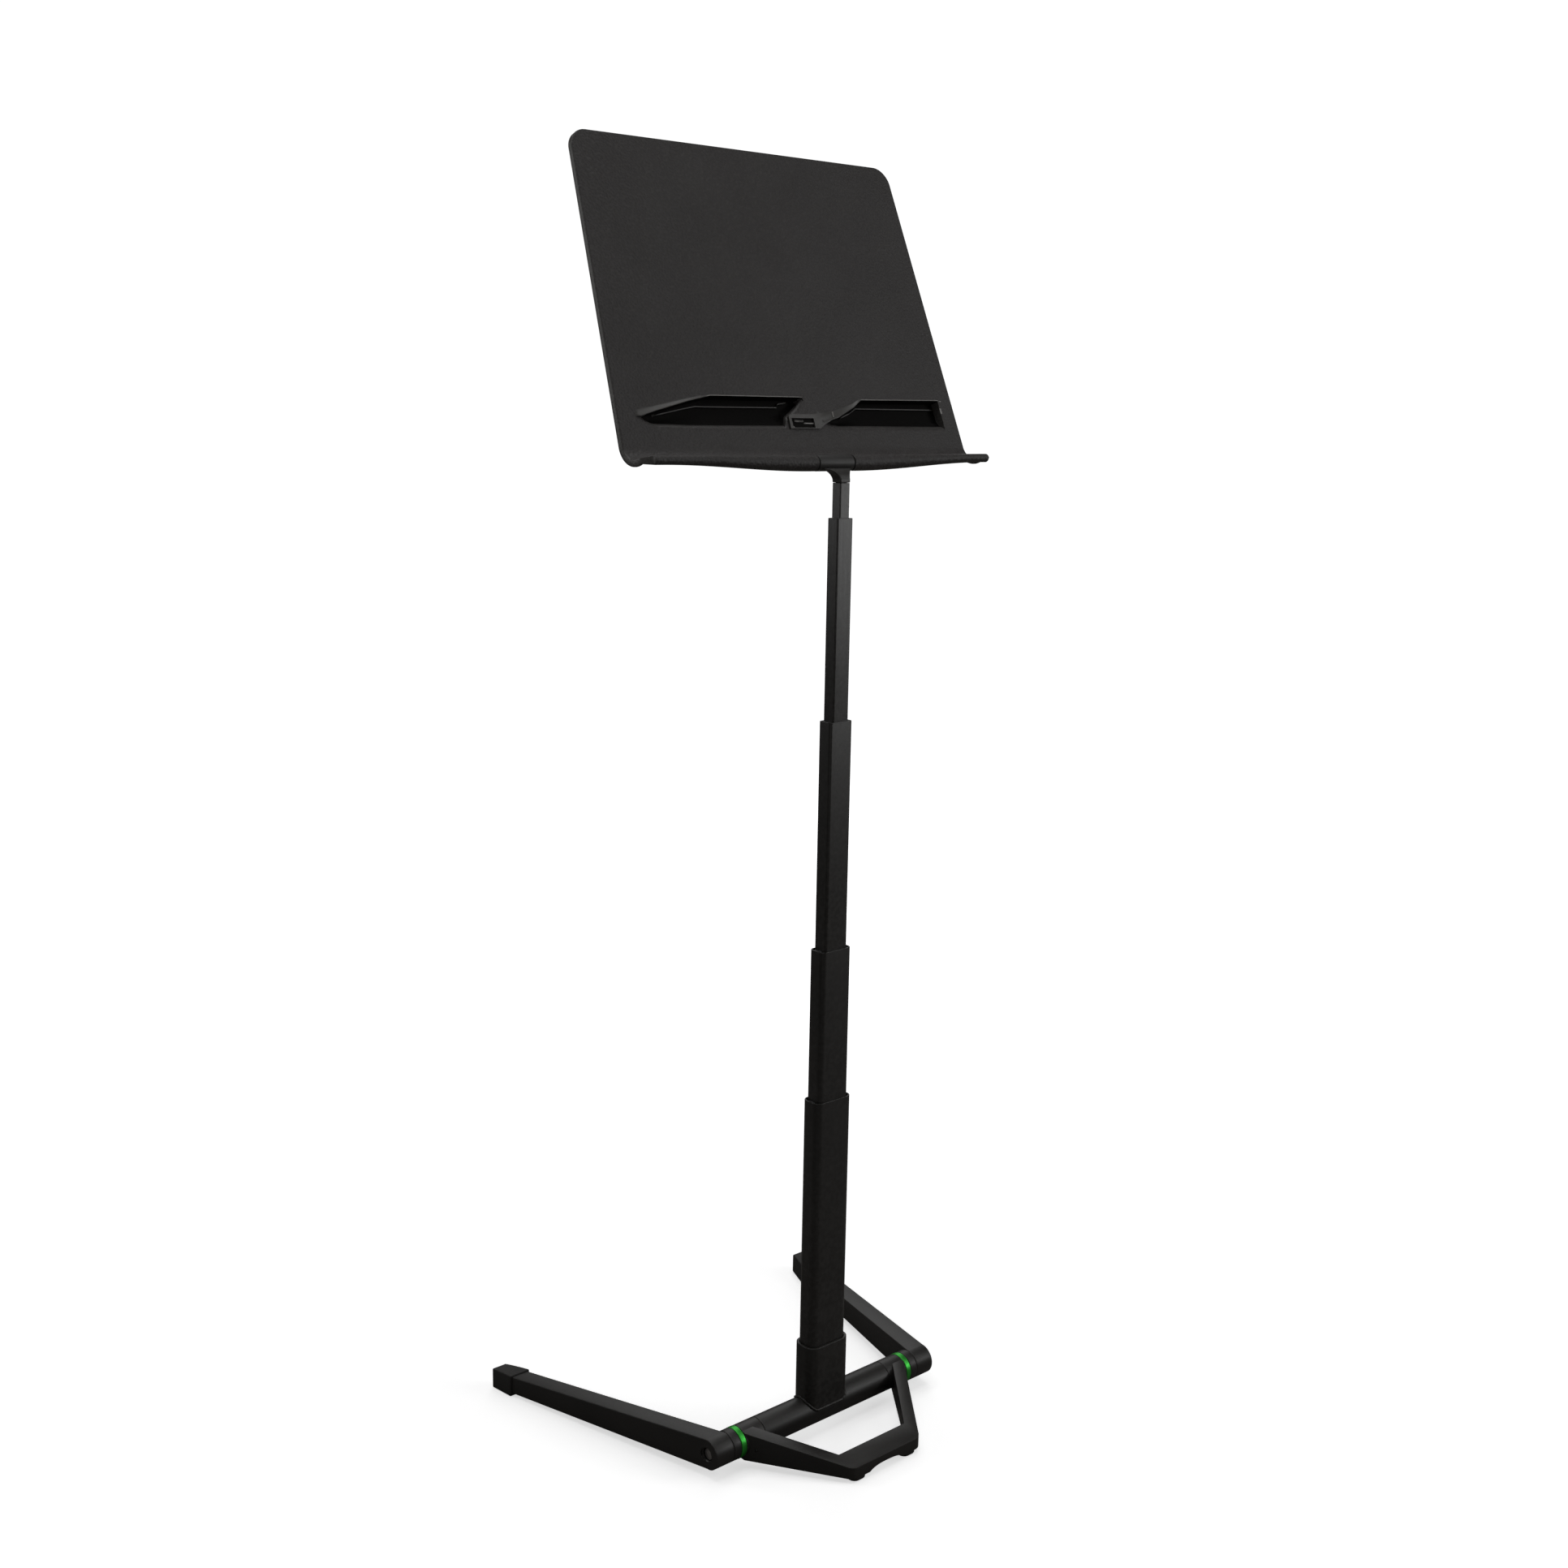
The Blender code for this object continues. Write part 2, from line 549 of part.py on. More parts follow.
# ================================================================ tray, drawn square to its plate
# In the tray's own frame X runs across, Y points behind the plate and Z up along it; the hinge axis is the origin.
def bead_share(x):
    """How far the lip's free edge has swollen from its thin end (0) to the full knuckle (1)."""
    span = (abs(x) - BEAD_FLAT) / (TRAY_WIDTH / 2 - LIP_INSET - BEAD_FLAT)
    return 0.5 + 0.5 * math.cos(math.pi * min(max(span, 0.0), 1.0))


def fold_centre():
    """Centre of the bend between plate and lip, set so that the lip's top face is tangent to the knuckle."""
    fall = math.radians(LIP_FALL)
    back = PLATE_OFFSET - FOLD_RADIUS
    up = (KNUCKLE_RADIUS + FOLD_RADIUS + back * math.sin(fall)) / math.cos(fall)
    return back, up


def tray_half_width(up):
    """Half width of the plate at a height along it."""
    fold = fold_centre()[1]
    share = min(max((up - fold) / (TRAY_HEIGHT - fold), 0.0), 1.0)
    return (TRAY_WIDTH + (TRAY_TOP_WIDTH - TRAY_WIDTH) * share) / 2


def tray_top(u):
    """Height of the plate's top edge at a share u of the half width, round at the corners."""
    reach = abs(u) * TRAY_TOP_WIDTH / 2 - (TRAY_TOP_WIDTH / 2 - TRAY_CORNER)
    if reach <= 0.0:
        return TRAY_HEIGHT
    return TRAY_HEIGHT - TRAY_CORNER + math.sqrt(max(TRAY_CORNER ** 2 - reach ** 2, 0.0))


def tray_station(u, on_rim):
    """Front and back points of the tray's cross-section at a share u of the half width, from the top edge down."""
    back, up = fold_centre()
    fall = math.radians(LIP_FALL)
    top = tray_top(u)
    edge_depth = RIM_DEPTH
    depth = RIM_DEPTH if on_rim else PANEL
    front, rear = [], []

    def add(height, thick):
        half = tray_half_width(height)
        front.append((u * half, PLATE_OFFSET, height))
        rear.append((u * half, PLATE_OFFSET + thick, height))

    add(top, edge_depth)
    add(top - RIM_WIDTH, edge_depth)
    add(top - RIM_WIDTH - 0.0004, depth)
    for share in (0.5, 1.0):
        add(top - RIM_WIDTH - 0.0004 - (top - RIM_WIDTH - 0.0004 - up) * share, depth)
    side = tray_half_width(up)
    bend_steps = 7
    for step in range(1, bend_steps + 1):
        angle = -(math.pi / 2 + fall) * step / bend_steps
        for points, radius in ((front, FOLD_RADIUS), (rear, FOLD_RADIUS + depth)):
            points.append((u * side, back + radius * math.cos(angle), up + radius * math.sin(angle)))
    swell = bead_share(u * side)
    radius = BEAD_RADIUS + (KNUCKLE_RADIUS - BEAD_RADIUS) * swell
    reach = BEAD_REACH + (KNUCKLE_RADIUS - BEAD_REACH) * swell
    along = reach - radius
    centre_y = -along * math.cos(fall) - (KNUCKLE_RADIUS - radius) * math.sin(fall)
    centre_z = -along * math.sin(fall) + (KNUCKLE_RADIUS - radius) * math.cos(fall)
    nose_steps = 6
    tip = u * (side - LIP_INSET)
    for step in range(nose_steps + 1):
        turn = math.pi / 2 * step / nose_steps * 0.98
        for points, sign in ((front, 1), (rear, -1)):
            angle = math.pi + fall - sign * (math.pi / 2 - turn)
            points.append((tip, centre_y + radius * math.cos(angle), centre_z + radius * math.sin(angle)))
    return front, rear


def tray_shares():
    """Places across the tray, as shares of the half width: rim, dense at the corners, then even."""
    rim = 1.0 - RIM_WIDTH / (TRAY_TOP_WIDTH / 2)
    corner = 1.0 - TRAY_CORNER / (TRAY_TOP_WIDTH / 2)
    right = [(k / 12.0) * corner for k in range(1, 13)]
    right += [corner + (rim - 0.004 - corner) * math.sin(math.pi / 2 * k / 4) for k in range(1, 5)]
    shares = [(-u, False) for u in reversed(right)] + [(0.0, False)] + [(u, False) for u in right]
    mid_rim = (rim + 1.0) / 2
    return [(-1.0, True), (-mid_rim, True), (-rim, True)] + shares + [(rim, True), (mid_rim, True), (1.0, True)]


def build_tray_desk(tilt, finish):
    """The folded plate and lip in one moulding, with a raised rim behind its edges."""
    rings = []
    for u, on_rim in tray_shares():
        front, rear = tray_station(u, on_rim)
        rings.append(front + rear[::-1])
    count = len(rings[0])
    vertices = [point for ring in rings for point in ring]
    faces = []
    for row in range(len(rings) - 1):
        for i in range(count):
            j = (i + 1) % count
            faces.append((row * count + i, row * count + j, (row + 1) * count + j, (row + 1) * count + i))
    for row in (0, len(rings) - 1):
        for i in range(count // 2 - 1):
            faces.append(tuple(row * count + k for k in (i, i + 1, count - 2 - i, count - 1 - i)))
    desk = make_object("tray_desk", vertices, faces, finish, tilt, 35)
    cut_tray(desk, tilt)
    return desk


def plate_block(name, outline, front, back, parent):
    """A block square to the plate: an outline across and up the plate, between two depths."""
    rings = [[(x, depth, up) for x, up in outline] for depth in (front, back)]
    vertices, faces = loft(rings)
    return make_object(name, vertices, faces, None, parent)


def slot_outline(slot):
    """A pocket's outline: low pointed tip, slanted shoulder, level top and straight floor."""
    return [(slot["tip"], SLOT_SHOULDER - 0.003), (slot["tip"] + 0.014, SLOT_BOTTOM), (slot["end"], SLOT_BOTTOM),
            (slot["end"], SLOT_SHOULDER), (slot["top_end"], SLOT_TOP), (slot["bend"], SLOT_TOP),
            (slot["tip"], SLOT_SHOULDER + 0.004)]


def cut_tray(desk, tilt):
    """Pockets, catch window, hinge notch and the knuckles' bore."""
    front, back = PLATE_OFFSET - 0.002, PLATE_OFFSET + RIM_DEPTH + 0.002
    for word, slot in (("left", LEFT_SLOT), ("right", RIGHT_SLOT)):
        boolean(desk, plate_block("slot_" + word, slot_outline(slot), front, back, tilt), "DIFFERENCE")
    low_x, high_x, low_up, high_up = WINDOW
    window = [(low_x, low_up), (high_x, low_up), (high_x, high_up), (low_x, high_up)]
    boolean(desk, plate_block("catch_window", window, front, back, tilt), "DIFFERENCE")
    notch_half = BARREL_HALF + WASHER_THICKNESS + 2 * GAP
    notch_top = fold_centre()[1] - FOLD_RADIUS + 0.002
    notch = [(-notch_half, -0.03), (notch_half, -0.03), (notch_half, notch_top), (-notch_half, notch_top)]
    boolean(desk, plate_block("hinge_notch", notch, -0.03, HINGE_NOTCH_BACK, tilt), "DIFFERENCE")
    bore_half = HINGE_AXLE_HALF + GAP
    boolean(desk, rod("knuckle_bore", -bore_half, bore_half, HINGE_AXLE_RADIUS + GAP, None, tilt), "DIFFERENCE")


def build_tray_fittings(tilt, paint, steel, plastic):
    """Hinge axle and washers, the pocket housing behind the plate, its screws and the catch in the window."""
    rod("hinge_axle", -HINGE_AXLE_HALF, HINGE_AXLE_HALF, HINGE_AXLE_RADIUS, steel, tilt)
    for side, word in ((-1, "left"), (1, "right")):
        start = side * (BARREL_HALF + GAP)
        sleeve("friction_washer_" + word, start, start + side * WASHER_THICKNESS, KNUCKLE_RADIUS - GAP,
               HINGE_AXLE_RADIUS + GAP, plastic, tilt, SMALL_STEPS)
    near = PLATE_OFFSET + PANEL + GAP
    far = near + HOUSING_DEPTH

    def panel_outline(inset):
        low, high, half = HOUSING_LOW + inset, HOUSING_HIGH - inset, HOUSING_HALF - inset
        return [(-half, low), (half, low), (half, high), (-half, high)]

    housing = plate_block("pocket_housing", panel_outline(0.0), near, far, tilt)
    housing.data.materials.append(paint)
    boolean(housing, plate_block("pocket_hollow", panel_outline(HOUSING_WALL), near - GAP, far - HOUSING_WALL, tilt),
            "DIFFERENCE")
    low_x, high_x, low_up, high_up = WINDOW
    plate = [(low_x - 0.004, near + GAP, low_up - 0.001), (high_x + 0.004, near + 0.0018, high_up + 0.002)]
    boss = [(low_x + GAP, PLATE_OFFSET + 0.0012, low_up + GAP), (high_x - GAP, near + 0.0010, high_up - GAP)]
    catch = box("centre_catch", *plate, steel, tilt)
    boolean(catch, box("catch_boss", *boss, None, tilt), "UNION")
    for row, up in enumerate(HOUSING_SCREW_UP):
        for column, x in enumerate(HOUSING_SCREW_X):
            build_housing_screw(str(row * len(HOUSING_SCREW_X) + column + 1), x, up, near, far, housing, tilt, steel)


def build_housing_screw(number, x, up, near, far, housing, tilt, steel):
    """A screw standing in the housing's edge wall, with its head on the back."""
    hole = disc_y("housing_hole_" + number, [(near - GAP, 0.0013 + GAP), (far + GAP, 0.0013 + GAP)], None, tilt)
    wall_up = min(max(up, HOUSING_LOW + 0.003), HOUSING_HIGH - 0.003)
    boss = disc_y("housing_boss_" + number, [(near, 0.0028), (far - HOUSING_WALL / 2, 0.0028)], None, tilt)
    screw = disc_y("housing_screw_" + number, [(near + GAP, 0.0013), (far + GAP, 0.0013), (far + GAP, 0.0028),
                                               (far + 0.0018, 0.0024)], steel, tilt)
    for piece in (hole, boss, screw):
        piece.location = (x, 0.0, wall_up)
    boolean(housing, boss, "UNION")
    boolean(housing, hole, "DIFFERENCE")


def disc_y(name, profile, finish, parent, steps=12):
    """A turned solid along Y through (place, radius) pairs."""
    rings = [[(radius * math.cos(2 * math.pi * k / steps), place, radius * math.sin(2 * math.pi * k / steps))
              for k in range(steps)] for place, radius in profile]
    vertices, faces = loft(rings)
    return make_object(name, vertices, faces, finish, parent, 30)


def box(name, low, high, finish, parent):
    """A square-edged block between two corners."""
    outline = [(low[0], low[1]), (high[0], low[1]), (high[0], high[1]), (low[0], high[1])]
    return prism(name, outline, lambda x, y: low[2], lambda x, y: high[2], finish, parent)


# ================================================================ the stand
def main():
    """Clear the scene and build every piece on its pivot."""
    for old in list(bpy.data.objects):
        bpy.data.objects.remove(old, do_unlink=True)
    paint = material("satin black paint", (0.018, 0.018, 0.019), 0.42, 0.0)
    moulding = material("grained black moulding", (0.020, 0.020, 0.021), 0.62, 0.0)
    green = material("green anodised ring", (0.03, 0.55, 0.06), 0.25, 1.0)
    steel = material("dark steel", (0.20, 0.20, 0.21), 0.35, 1.0)
    rubber = material("black rubber", (0.015, 0.015, 0.015), 0.75, 0.0)
    plastic = material("grey plastic", (0.12, 0.12, 0.12), 0.55, 0.0)

    stand = pivot("stand", (0.0, BASE_Y, 0.0))
    base = pivot("base_axis", (0.0, 0.0, AXLE_HEIGHT), parent=stand)
    foot_hinge = pivot("foot_hinge", (0.0, 0.0, AXLE_HEIGHT), parent=stand)
    tilt = pivot("tray_tilt", (0.0, HINGE_BACK, HINGE_HEIGHT), TRAY_LEAN, parent=stand)
    bpy.context.view_layer.update()

    build_cross_tube(base, paint, steel, plastic)
    build_rings(base, green, steel)
    floor = build_socket(base, paint)
    for side, word in ((-1, "left"), (1, "right")):
        hinge = pivot("leg_hinge_" + word, (0.0, 0.0, AXLE_HEIGHT), parent=stand)
        build_leg(side, word, hinge, paint, rubber, plastic)
    build_foot(foot_hinge, paint, rubber, steel)
    top_slide = build_mast(stand, base, floor, paint, plastic)
    build_head(top_slide, paint)
    build_tray_desk(tilt, moulding)
    build_tray_fittings(tilt, paint, steel, plastic)


main()
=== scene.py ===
"""Visual model of a folding music stand, built around its packed mechanical frame.

Every piece is a surface worked out with numpy in the frame's own coordinates: X across the tray, -Y towards the
player, +Z up, metres. Lengths inside the property groups are metres as well.
"""
import json
import math

import bmesh
import bpy
import numpy as np
from bpy.props import FloatProperty, FloatVectorProperty, IntProperty, PointerProperty
from bpy.types import Operator, Panel, PropertyGroup
from mathutils import Matrix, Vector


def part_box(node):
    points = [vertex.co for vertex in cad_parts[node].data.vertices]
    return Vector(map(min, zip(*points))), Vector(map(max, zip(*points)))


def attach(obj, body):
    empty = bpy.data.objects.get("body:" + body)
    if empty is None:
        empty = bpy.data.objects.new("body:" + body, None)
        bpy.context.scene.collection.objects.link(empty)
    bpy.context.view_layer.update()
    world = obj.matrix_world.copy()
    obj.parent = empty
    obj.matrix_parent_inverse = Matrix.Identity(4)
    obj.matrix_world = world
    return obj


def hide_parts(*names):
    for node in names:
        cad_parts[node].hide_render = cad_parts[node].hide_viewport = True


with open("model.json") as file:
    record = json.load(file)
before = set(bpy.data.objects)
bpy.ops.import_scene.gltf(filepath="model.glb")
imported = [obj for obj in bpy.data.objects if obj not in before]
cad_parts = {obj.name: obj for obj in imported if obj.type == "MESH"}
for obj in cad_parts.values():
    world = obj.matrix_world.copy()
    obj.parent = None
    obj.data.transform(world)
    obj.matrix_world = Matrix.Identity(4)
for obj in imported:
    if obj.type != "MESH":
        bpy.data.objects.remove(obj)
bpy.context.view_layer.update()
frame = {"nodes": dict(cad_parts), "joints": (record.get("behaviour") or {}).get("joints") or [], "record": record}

bl_info = {
    "name": "Folding Music Stand",
    "version": (1, 0, 0),
    "blender": (4, 5, 0),
    "location": "View3D > Sidebar > Stand",
    "description": "Builds the visible pieces and finishes of a folding music stand",
    "category": "Object",
}


# ================================================================ places read from the frame
def span(node):
    """Lowest and highest corner of a frame node as numpy arrays."""
    low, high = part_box(node)
    return np.array(low), np.array(high)


def joint_place(name):
    """The point a hinge turns about."""
    for joint in frame["joints"]:
        if joint["name"] == name:
            return np.array(joint["pos_m"], float)
    raise RuntimeError("no joint called " + name)


TILT_AXIS = joint_place("tray_tilt")
FOOT_AXIS = joint_place("foot_fold")
BASE_Y = float(FOOT_AXIS[1])
AXLE_Z = float(FOOT_AXIS[2])
TUBE_R = float((span("cross_tube")[1][2] - span("cross_tube")[0][2]) / 2)


# ================================================================ properties
class StandTraySizes(PropertyGroup):
    """Sizes of the tray that holds the sheets."""
    width: FloatProperty(name="Width", description="Width across the fold", default=0.459, unit="LENGTH")
    top_width: FloatProperty(name="Top width", description="Width across the top edge", default=0.419, unit="LENGTH")
    height: FloatProperty(name="Height", description="Hinge axis to the plate's top edge, along the plate",
                          default=0.3467, unit="LENGTH")
    lean: FloatProperty(name="Lean", description="How far the plate leans back", default=math.radians(21.0),
                        unit="ROTATION")
    offset: FloatProperty(name="Offset", description="Hinge axis to the plate's front face", default=0.0317,
                          unit="LENGTH")
    corner: FloatProperty(name="Corner", description="Radius of the two top corners", default=0.019, unit="LENGTH")
    panel: FloatProperty(name="Panel", description="Thickness of the plate", default=0.004, unit="LENGTH")
    rim: FloatProperty(name="Rim", description="Depth of the rim round the plate", default=0.0068, unit="LENGTH")
    rim_width: FloatProperty(name="Rim width", description="Width of the rim", default=0.003, unit="LENGTH")
    edge: FloatProperty(name="Edge", description="Rounding of the rim's outer corners", default=0.0011,
                        unit="LENGTH")
    fold: FloatProperty(name="Fold", description="Inner radius of the fold", default=0.018, unit="LENGTH")
    lip_fall: FloatProperty(name="Lip fall", description="How far the lip falls from square to the plate",
                            default=math.radians(8.0), unit="ROTATION")
    lip_inset: FloatProperty(name="Lip inset", description="The lip's free edge stops this short at each end",
                             default=0.0065, unit="LENGTH")
    knuckle: FloatProperty(name="Knuckle", description="Radius of the lip's free edge at the hinge",
                           default=0.0082, unit="LENGTH")
    bead: FloatProperty(name="Bead", description="Radius of the lip's free edge at its ends", default=0.0045,
                        unit="LENGTH")
    bead_reach: FloatProperty(name="Bead reach", description="How far the free edge reaches past the hinge axis",
                              default=0.0059, unit="LENGTH")
    pocket_depth: FloatProperty(name="Pocket depth", description="Depth of the two pockets", default=0.0098,
                                unit="LENGTH")
    hood: FloatProperty(name="Hood", description="How far a pocket's upper edge stands proud", default=0.0022,
                        unit="LENGTH")


class StandMastSizes(PropertyGroup):
    """Roundings of the telescoping mast."""
    rim: FloatProperty(name="Rim", description="Rounding of each section's rim", default=0.00045, unit="LENGTH")
    steps: IntProperty(name="Corner steps", description="Segments in each rounded corner", default=12, min=3)
    bead: FloatProperty(name="Weld", description="Radius of the weld round the socket", default=0.0016,
                        unit="LENGTH")


class StandBaseSizes(PropertyGroup):
    """Sizes of the legs and the front foot."""
    splay: FloatProperty(name="Splay", description="Sideways run of a leg for each metre back", default=0.2663)
    root_width: FloatProperty(name="Root width", description="Width of a leg at the hub", default=0.0245,
                              unit="LENGTH")
    tip_width: FloatProperty(name="Tip width", description="Width of a leg at its cap", default=0.0214,
                             unit="LENGTH")
    reach: FloatProperty(name="Reach", description="Length of a leg's bar from the cross tube", default=0.275,
                         unit="LENGTH")
    top_fall: FloatProperty(name="Top fall", description="Drop of a leg's top for each metre back", default=0.0740)
    under_fall: FloatProperty(name="Under fall", description="Drop of a leg's underside for each metre back",
                              default=0.0231)
    edge: FloatProperty(name="Edge", description="Rounding of the legs' long edges", default=0.0011,
                        unit="LENGTH")
    foot_edge: FloatProperty(name="Foot edge", description="Rounding of the front foot's edges", default=0.0010,
                             unit="LENGTH")


class StandFinishes(PropertyGroup):
    """Colours of the stand's finishes."""
    paint: FloatVectorProperty(name="Coating", description="Satin black coating of mast and base", size=3,
                               subtype="COLOR", min=0.0, max=1.0, default=(0.0110, 0.0098, 0.0084))
    moulding: FloatVectorProperty(name="Moulding", description="Grained black moulding of the tray", size=3,
                                  subtype="COLOR", min=0.0, max=1.0, default=(0.0150, 0.0120, 0.0112))
    ring: FloatVectorProperty(name="Rings", description="Green anodised rings", size=3, subtype="COLOR", min=0.0,
                              max=1.0, default=(0.040, 0.46, 0.050))
    rubber: FloatVectorProperty(name="Rubber", description="Caps and pads", size=3, subtype="COLOR", min=0.0,
                                max=1.0, default=(0.0140, 0.0134, 0.0128))
    steel: FloatVectorProperty(name="Steel", description="Screws and axles", size=3, subtype="COLOR", min=0.0,
                               max=1.0, default=(0.30, 0.29, 0.28))
    nylon: FloatVectorProperty(name="Nylon", description="Guides and bushes", size=3, subtype="COLOR", min=0.0,
                               max=1.0, default=(0.060, 0.060, 0.062))
    floor: FloatVectorProperty(name="Floor", description="Studio floor", size=3, subtype="COLOR", min=0.0,
                               max=1.0, default=(0.92, 0.92, 0.92))


class StandSettings(PropertyGroup):
    """Everything a user can change on the stand."""
    tray: PointerProperty(type=StandTraySizes)
    mast: PointerProperty(type=StandMastSizes)
    base: PointerProperty(type=StandBaseSizes)
    finish: PointerProperty(type=StandFinishes)


def settings():
    """The settings kept on the scene."""
    return bpy.context.scene.music_stand


# ================================================================ shader groups
def add_node(tree, kind, inputs=None, **attributes):
    """A shader node with its attributes and unlinked inputs set; an input given a socket is linked to it."""
    made = tree.nodes.new(kind)
    for key, value in attributes.items():
        setattr(made, key, value)
    for key, value in (inputs or {}).items():
        if isinstance(value, bpy.types.NodeSocket):
            tree.links.new(value, made.inputs[key])
        else:
            made.inputs[key].default_value = value
    return made


def new_group(name, inputs, outputs):
    """An empty shader node group with named sockets; inputs map a name to its default value."""
    group = bpy.data.node_groups.new(name, "ShaderNodeTree")
    for label, value in inputs.items():
        kind = "NodeSocketColor" if isinstance(value, tuple) else "NodeSocketFloat"
        socket = group.interface.new_socket(label, in_out="INPUT", socket_type=kind)
        socket.default_value = value
    for label in outputs:
        kind = "NodeSocketColor" if label == "Color" else "NodeSocketFloat"
        group.interface.new_socket(label, in_out="OUTPUT", socket_type=kind)
    return group, group.nodes.new("NodeGroupInput").outputs, group.nodes.new("NodeGroupOutput").inputs


def ranged(tree, value, low, high, first=0.0, last=1.0):
    """A value's share of the way from low to high, given out from first to last."""
    return add_node(tree, "ShaderNodeMapRange", {"Value": value, "From Min": low, "From Max": high,
                                                 "To Min": first, "To Max": last}).outputs["Result"]


def product(tree, first, second):
    """Two values multiplied."""
    return add_node(tree, "ShaderNodeMath", {0: first, 1: second}, operation="MULTIPLY").outputs[0]


def blended(tree, share, first, second):
    """Two values mixed by a share."""
    return add_node(tree, "ShaderNodeMix", {"Factor": share, "A": first, "B": second},
                    data_type="FLOAT").outputs["Result"]


def tinted(tree, share, first, second):
    """Two colours mixed by a share."""
    return add_node(tree, "ShaderNodeMix", {"Factor": share, 6: first, 7: second}, data_type="RGBA").outputs[2]


def noise(tree, place, scale, detail, roughness=0.5):
    """Noise at a place."""
    return add_node(tree, "ShaderNodeTexNoise", {"Vector": place, "Scale": scale, "Detail": detail,
                                                 "Roughness": roughness}).outputs["Fac"]


def own_place(tree):
    """The piece's own coordinates."""
    return tree.nodes.new("ShaderNodeTexCoord").outputs["Object"]


def grain_group():
    """Moulded grain: pebbles from a smooth cell pattern, broken by two sizes of noise."""
    group, give, take = new_group("Moulded Grain", {"Scale": 900.0, "Pebble": 0.6}, ["Height", "Mask"])
    place = own_place(group)
    cells = add_node(group, "ShaderNodeTexVoronoi", {"Vector": place, "Scale": give["Scale"], "Smoothness": 0.7},
                     feature="SMOOTH_F1")
    fine = noise(group, place, give["Scale"], 3.0, 0.6)
    group.links.new(blended(group, give["Pebble"], fine, cells.outputs["Distance"]), take["Height"])
    group.links.new(ranged(group, noise(group, place, 14.0, 4.0), 0.35, 0.65), take["Mask"])
    return group


def wear_group():
    """Rubbed edges: where the surface turns sharply, broken up by noise."""
    group, give, take = new_group("Rubbed Edges", {"Amount": 0.5, "Scale": 220.0}, ["Mask"])
    sharp = group.nodes.new("ShaderNodeNewGeometry").outputs["Pointiness"]
    patch = ranged(group, noise(group, own_place(group), give["Scale"], 4.0), 0.40, 0.62)
    both = product(group, ranged(group, sharp, 0.52, 0.60), patch)
    group.links.new(product(group, both, give["Amount"]), take["Mask"])
    return group


def dust_group():
    """A thin film of dust on faces that look up, in soft patches."""
    group, give, take = new_group("Dust Film", {"Amount": 0.5}, ["Mask"])
    normal = group.nodes.new("ShaderNodeNewGeometry").outputs["Normal"]
    up = add_node(group, "ShaderNodeSeparateXYZ", {"Vector": normal}).outputs["Z"]
    patch = ranged(group, noise(group, own_place(group), 32.0, 6.0, 0.7), 0.38, 0.70)
    both = product(group, ranged(group, up, 0.25, 1.0), patch)
    group.links.new(product(group, both, give["Amount"]), take["Mask"])
    return group


def drawn_group():
    """Fine drawn lines: noise stretched far along one axis. Along picks X at 0 and Z at 1."""
    group, give, take = new_group("Drawn Lines", {"Along": 1.0, "Scale": 700.0}, ["Height"])
    place = own_place(group)
    tall, wide = (add_node(group, "ShaderNodeMapping", {"Vector": place, "Scale": scale}).outputs[0]
                  for scale in ((1.0, 1.0, 0.012), (1.0, 0.03, 0.03)))
    picked = add_node(group, "ShaderNodeMix", {"Factor": give["Along"], 4: wide, 5: tall}, data_type="VECTOR")
    group.links.new(noise(group, picked.outputs[1], give["Scale"], 2.0), take["Height"])
    return group


DUST_COLOUR = (0.20, 0.19, 0.18, 1.0)


def tone_group():
    """A finish's colour: base, lightened by a broad mask, then by worn edges, then by dust."""
    group, give, take = new_group("Finish Tone", {"Base": (0.02, 0.02, 0.02, 1.0), "Worn": (0.08, 0.08, 0.08, 1.0),
                                                  "Broad": 0.0, "Lift": 0.2, "Wear": 0.0, "Dust": 0.0, "Speck": 0.5,
                                                  "Speck Amount": 0.3}, ["Color"])
    specked = add_node(group, "ShaderNodeMath", {0: ranged(group, give["Speck"], 0.45, 0.75), 1: give["Speck Amount"],
                                                 2: product(group, give["Broad"], give["Lift"])},
                       operation="MULTIPLY_ADD")
    lifted = tinted(group, specked.outputs[0], give["Base"], give["Worn"])
    rubbed = tinted(group, give["Wear"], lifted, give["Worn"])
    group.links.new(tinted(group, give["Dust"], rubbed, DUST_COLOUR), take["Color"])
    return group


GROUPS = {}


def placed(tree, key, **inputs):
    """A shared shader group placed in a material with its own values."""
    makers = {"grain": grain_group, "wear": wear_group, "dust": dust_group, "drawn": drawn_group,
              "tone": tone_group}
    if key not in GROUPS:
        GROUPS[key] = makers[key]()
    return add_node(tree, "ShaderNodeGroup", inputs, node_tree=GROUPS[key])


def rgba(colour):
    """A colour with full alpha."""
    return (*colour, 1.0)


